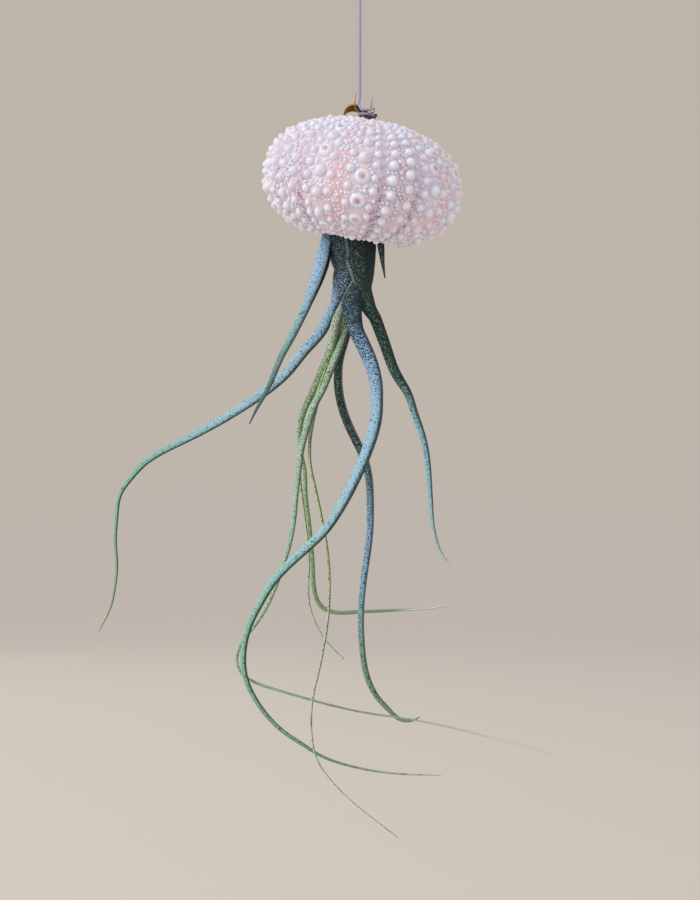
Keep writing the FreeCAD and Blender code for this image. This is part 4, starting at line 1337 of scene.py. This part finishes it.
# %% Dry finishes
def dry_look(stops, line_shade):
    """Dead leaf, darker along its fibres and paler at its edges. The stops run from base to tip."""
    def look(base):
        grown = base.attribute("grown", "Vector")
        fibre = grown.stretch((5, 5, 0.5)).noise(1.0, 3.0)
        shade = base.attribute("along").ramp([(place, colour(code)) for place, code in stops])
        shade = (fibre.rise(0.45, 0.65) * 0.6).paint(shade, colour(line_shade))
        # Painted shade: the inner face of the gutter is painted a darker brown.
        shade = (base.attribute("fold") * 0.5).paint(shade, colour("8a4814"))
        edge = base.attribute("edge").rise(0.7, 1.0) * (1 - base.attribute("fold"))
        shade = (edge * 0.7).paint(shade, colour("dcbd92"))
        surface(base, shade, 0.6, fibre, 0.1 * mm)
    return look


dry_leaf = material("dry_leaf", dry_look(
    [(0.0, "b98a52"), (0.4, "c68f4c"), (0.7, "8f5420"), (1.0, "4a220c")], "6b3a17"))
dry_stem = material("dry_stem", dry_look([(0.0, "7a5230"), (1.0, "a5784a")], "3c2210"))
dry_sliver = material("dry_sliver", dry_look(
    [(0.0, "ead2aa"), (0.6, "d0a878"), (1.0, "8a5c34")], "9a7248"))

# %% [markdown]
# The dry bits stand close round the stub's top, so their rows are shares of the wound stub's width,
# counted from the stub's top. One roll holds all along each of them.

# %% Dry leaf, sliver and scales
wound_width = 6.3 * mm


def dry_place(side, depth, height):
    """A place at the stub's top from shares of the wound stub's width."""
    return np.array(stub_middle) + np.stack([side, depth, height], -1) * wound_width


def dry_bit(name, rows, roll, width, node, finish, slot_name):
    """A curled dry flake from its rows, with one roll all along."""
    rolls = [(0, *roll), (len(rows) - 1, *roll)]
    return rolled_leaf(name, rows, rolls, finish, slot_name, node, dry_place, width)


arch_rows = [
    (-1.30, -0.03, -0.28, 0.22), (-1.16, 0.04, -0.05, 0.62), (-0.93, 0.14, 0.08, 0.95),
    (-0.64, 0.26, 0.10, 0.98), (-0.42, 0.28, -0.02, 0.80), (-0.23, 0.26, -0.20, 0.60),
]
dry_bit("dry_leaf_arch_blade", arch_rows, (42, 205, 0.2), 4.0 * mm, "dry_leaf_arch", dry_leaf, "dry_leaf")
curl_rows = [
    (-0.57, 0.38, 1.10, 0.35), (-0.71, 0.40, 0.66, 0.80), (-0.64, 0.43, 0.20, 1.00),
    (-0.37, 0.43, -0.12, 1.00), (-0.15, 0.38, -0.33, 0.70),
]
dry_bit("dry_root_curl_sliver", curl_rows, (-60, 220, 0.5), 1.3 * mm, "dry_root_curl", dry_sliver,
        "dry_stem")
scale_rows = [
    [(0.24, 0.16, -0.58, 0.70), (0.43, 0.11, -0.39, 1.00), (0.65, 0.04, -0.26, 0.40)],
    [(0.04, 0.43, -0.23, 0.70), (0.17, 0.50, 0.04, 0.90), (0.31, 0.53, 0.31, 0.40)],
    [(-0.23, -0.33, -0.53, 0.60), (-0.30, -0.52, -0.47, 0.90), (-0.42, -0.69, -0.52, 0.40)],
]
for number, rows in enumerate(scale_rows, 1):
    dry_bit(f"dry_scale_{number}", rows, (-110, 70, 0.25), 2.2 * mm, "dry_scales", dry_leaf, "dry_leaf")

# %% [markdown]
# The stub itself is a bundle of dead fibres. Nine broad ridges and seventeen fine ones run along it,
# and its top is torn into five uneven points.

# %% Stub
stub_sides = 60
stub_rows = 24
tear_depth = 0.5 * mm
core_share = 0.45
core_sink = 0.6 * mm
core_depth = 1.0 * mm


def stub_points():
    """Rings of points up the stub, ridged, with a torn top."""
    turn = full_turn(stub_sides)
    heights = np.linspace(stub_low.z + 0.2 * mm, stub_high.z, stub_rows)
    ridge = 0.05 * np.cos(9 * turn) + 0.03 * np.cos(17 * turn + 1.0)
    rings = []
    for k, height in enumerate(heights):
        taper = 0.90 + 0.04 * math.sin(k * 0.9)
        reach = stub_radius * (taper + ridge)
        lift = -tear_depth * (1 + np.cos(5 * turn + 0.6)) * (k == stub_rows - 1)
        rings.append(np.stack([stub_middle.x + reach * np.cos(turn), stub_middle.y + reach * np.sin(turn),
                               height + lift + 0 * turn], 1))
    inner = rings[-1].copy()
    middle = np.array(stub_middle.xy)
    inner[:, :2] = middle + (inner[:, :2] - middle) * core_share
    inner[:, 2] -= core_sink
    return np.concatenate([*rings, inner, [[stub_middle.x, stub_middle.y, stub_high.z - core_depth]]])


points = stub_points()
faces = ring_faces(stub_rows + 1, stub_sides)[:, ::-1].tolist()
last = stub_rows * stub_sides
faces += [[last + k, last + (k + 1) % stub_sides, len(points) - 1] for k in range(stub_sides)]
rise = (points[:, 2] - points[0, 2]) / (points[:, 2].max() - points[0, 2])
none = np.zeros(len(points))
add_piece("stem_stub_fibres", points, faces, dry_stem, "plant", "stem_stub", "dry_stem",
          grown=points / mm, along=rise, edge=none, fold=none)
print("stub's height in mm:", round((stub_high.z - stub_low.z) / mm, 1))

# %% [markdown]
# A pale sweep carries the shadow-free background round on every side, so that no edge of it shows from
# any angle. The floor bounces light up at the plant, and the walls neither shade nor bounce.

# %% Floor and backdrop
floor_height = -0.40
floor_reach = 1.6
sweep_radius = 0.9
wall_top = 2.5
stage_sides = 96


def sweep_look(base):
    """A pale matt paint, a little cloudy."""
    place = base.node("TexCoord", output="Object")
    cloud = place.noise(1.3, 2.0)
    shade = (cloud * 0.25).paint(colour("e4dacd"), colour("dccfc0"))
    surface(base, shade, 0.9, Specular_IOR_Level=0.2)


def turned_stage(name, reaches, heights, finish):
    """A round piece of stage from its profile."""
    turn = full_turn(stage_sides)
    rings = [np.stack([reach * np.cos(turn), reach * np.sin(turn), height + 0 * turn], 1)
             for reach, height in zip(reaches, heights)]
    faces = ring_faces(len(rings), stage_sides)
    made = smooth_object(name, np.concatenate(rings), faces, finish, {})
    made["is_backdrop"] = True
    return made


sweep_paint = material("sweep_paint", sweep_look)
turned_stage("floor", [0.001, 0.5, floor_reach], [floor_height] * 3, sweep_paint)
bend = np.radians(np.linspace(0, 90, 24))
reaches = [*(floor_reach + sweep_radius * np.sin(bend)), floor_reach + sweep_radius]
heights = [*(floor_height + sweep_radius * (1 - np.cos(bend))), wall_top]
backdrop = turned_stage("backdrop", reaches, heights, sweep_paint)
backdrop.visible_shadow = False
backdrop.visible_diffuse = False

# %% [markdown]
# The photograph is lit by a large soft source from the left, a little above and in front, so the leaves
# are bright on their left and dark on their right. A weak fill keeps the dark side readable.

# %% Lights
aim = Vector((0, 0, -0.17))


def soft_box(name, place, size, power):
    """A square area lamp that points at the plant."""
    data = bpy.data.lights.new(name, "AREA")
    data.energy = power
    data.size = size
    lamp = bpy.data.objects.new(name, data)
    lamp.location = place
    lamp.rotation_euler = (aim - Vector(place)).to_track_quat("-Z", "Y").to_euler()
    bpy.context.collection.objects.link(lamp)


soft_box("key", (-1.15, -0.75, 0.65), size=0.9, power=11)
soft_box("fill", (1.3, -0.9, 0.3), size=1.2, power=2.5)
soft_box("rim", (-0.6, 1.2, 0.5), size=0.8, power=2)

world = bpy.data.worlds.new("studio")
world.use_nodes = True
background = world.node_tree.nodes["Background"].inputs
background["Color"].default_value = colour("f3f3f6")
background["Strength"].default_value = 0.66
bpy.context.scene.world = world
bpy.context.scene.view_settings.view_transform = "Standard"

# %% [markdown]
# Blender never changes the object's size, so both boxes are printed: the packed model's, kept from the
# start, and that of what shows now.

# %% Finish
boxes = {"cad": [list(corner) for corner in cad_box], "visual": [list(corner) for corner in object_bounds()]}
print("sizes in mm:", {name: [round(float(b - a) / mm, 1) for a, b in zip(*box)]
                       for name, box in boxes.items()})
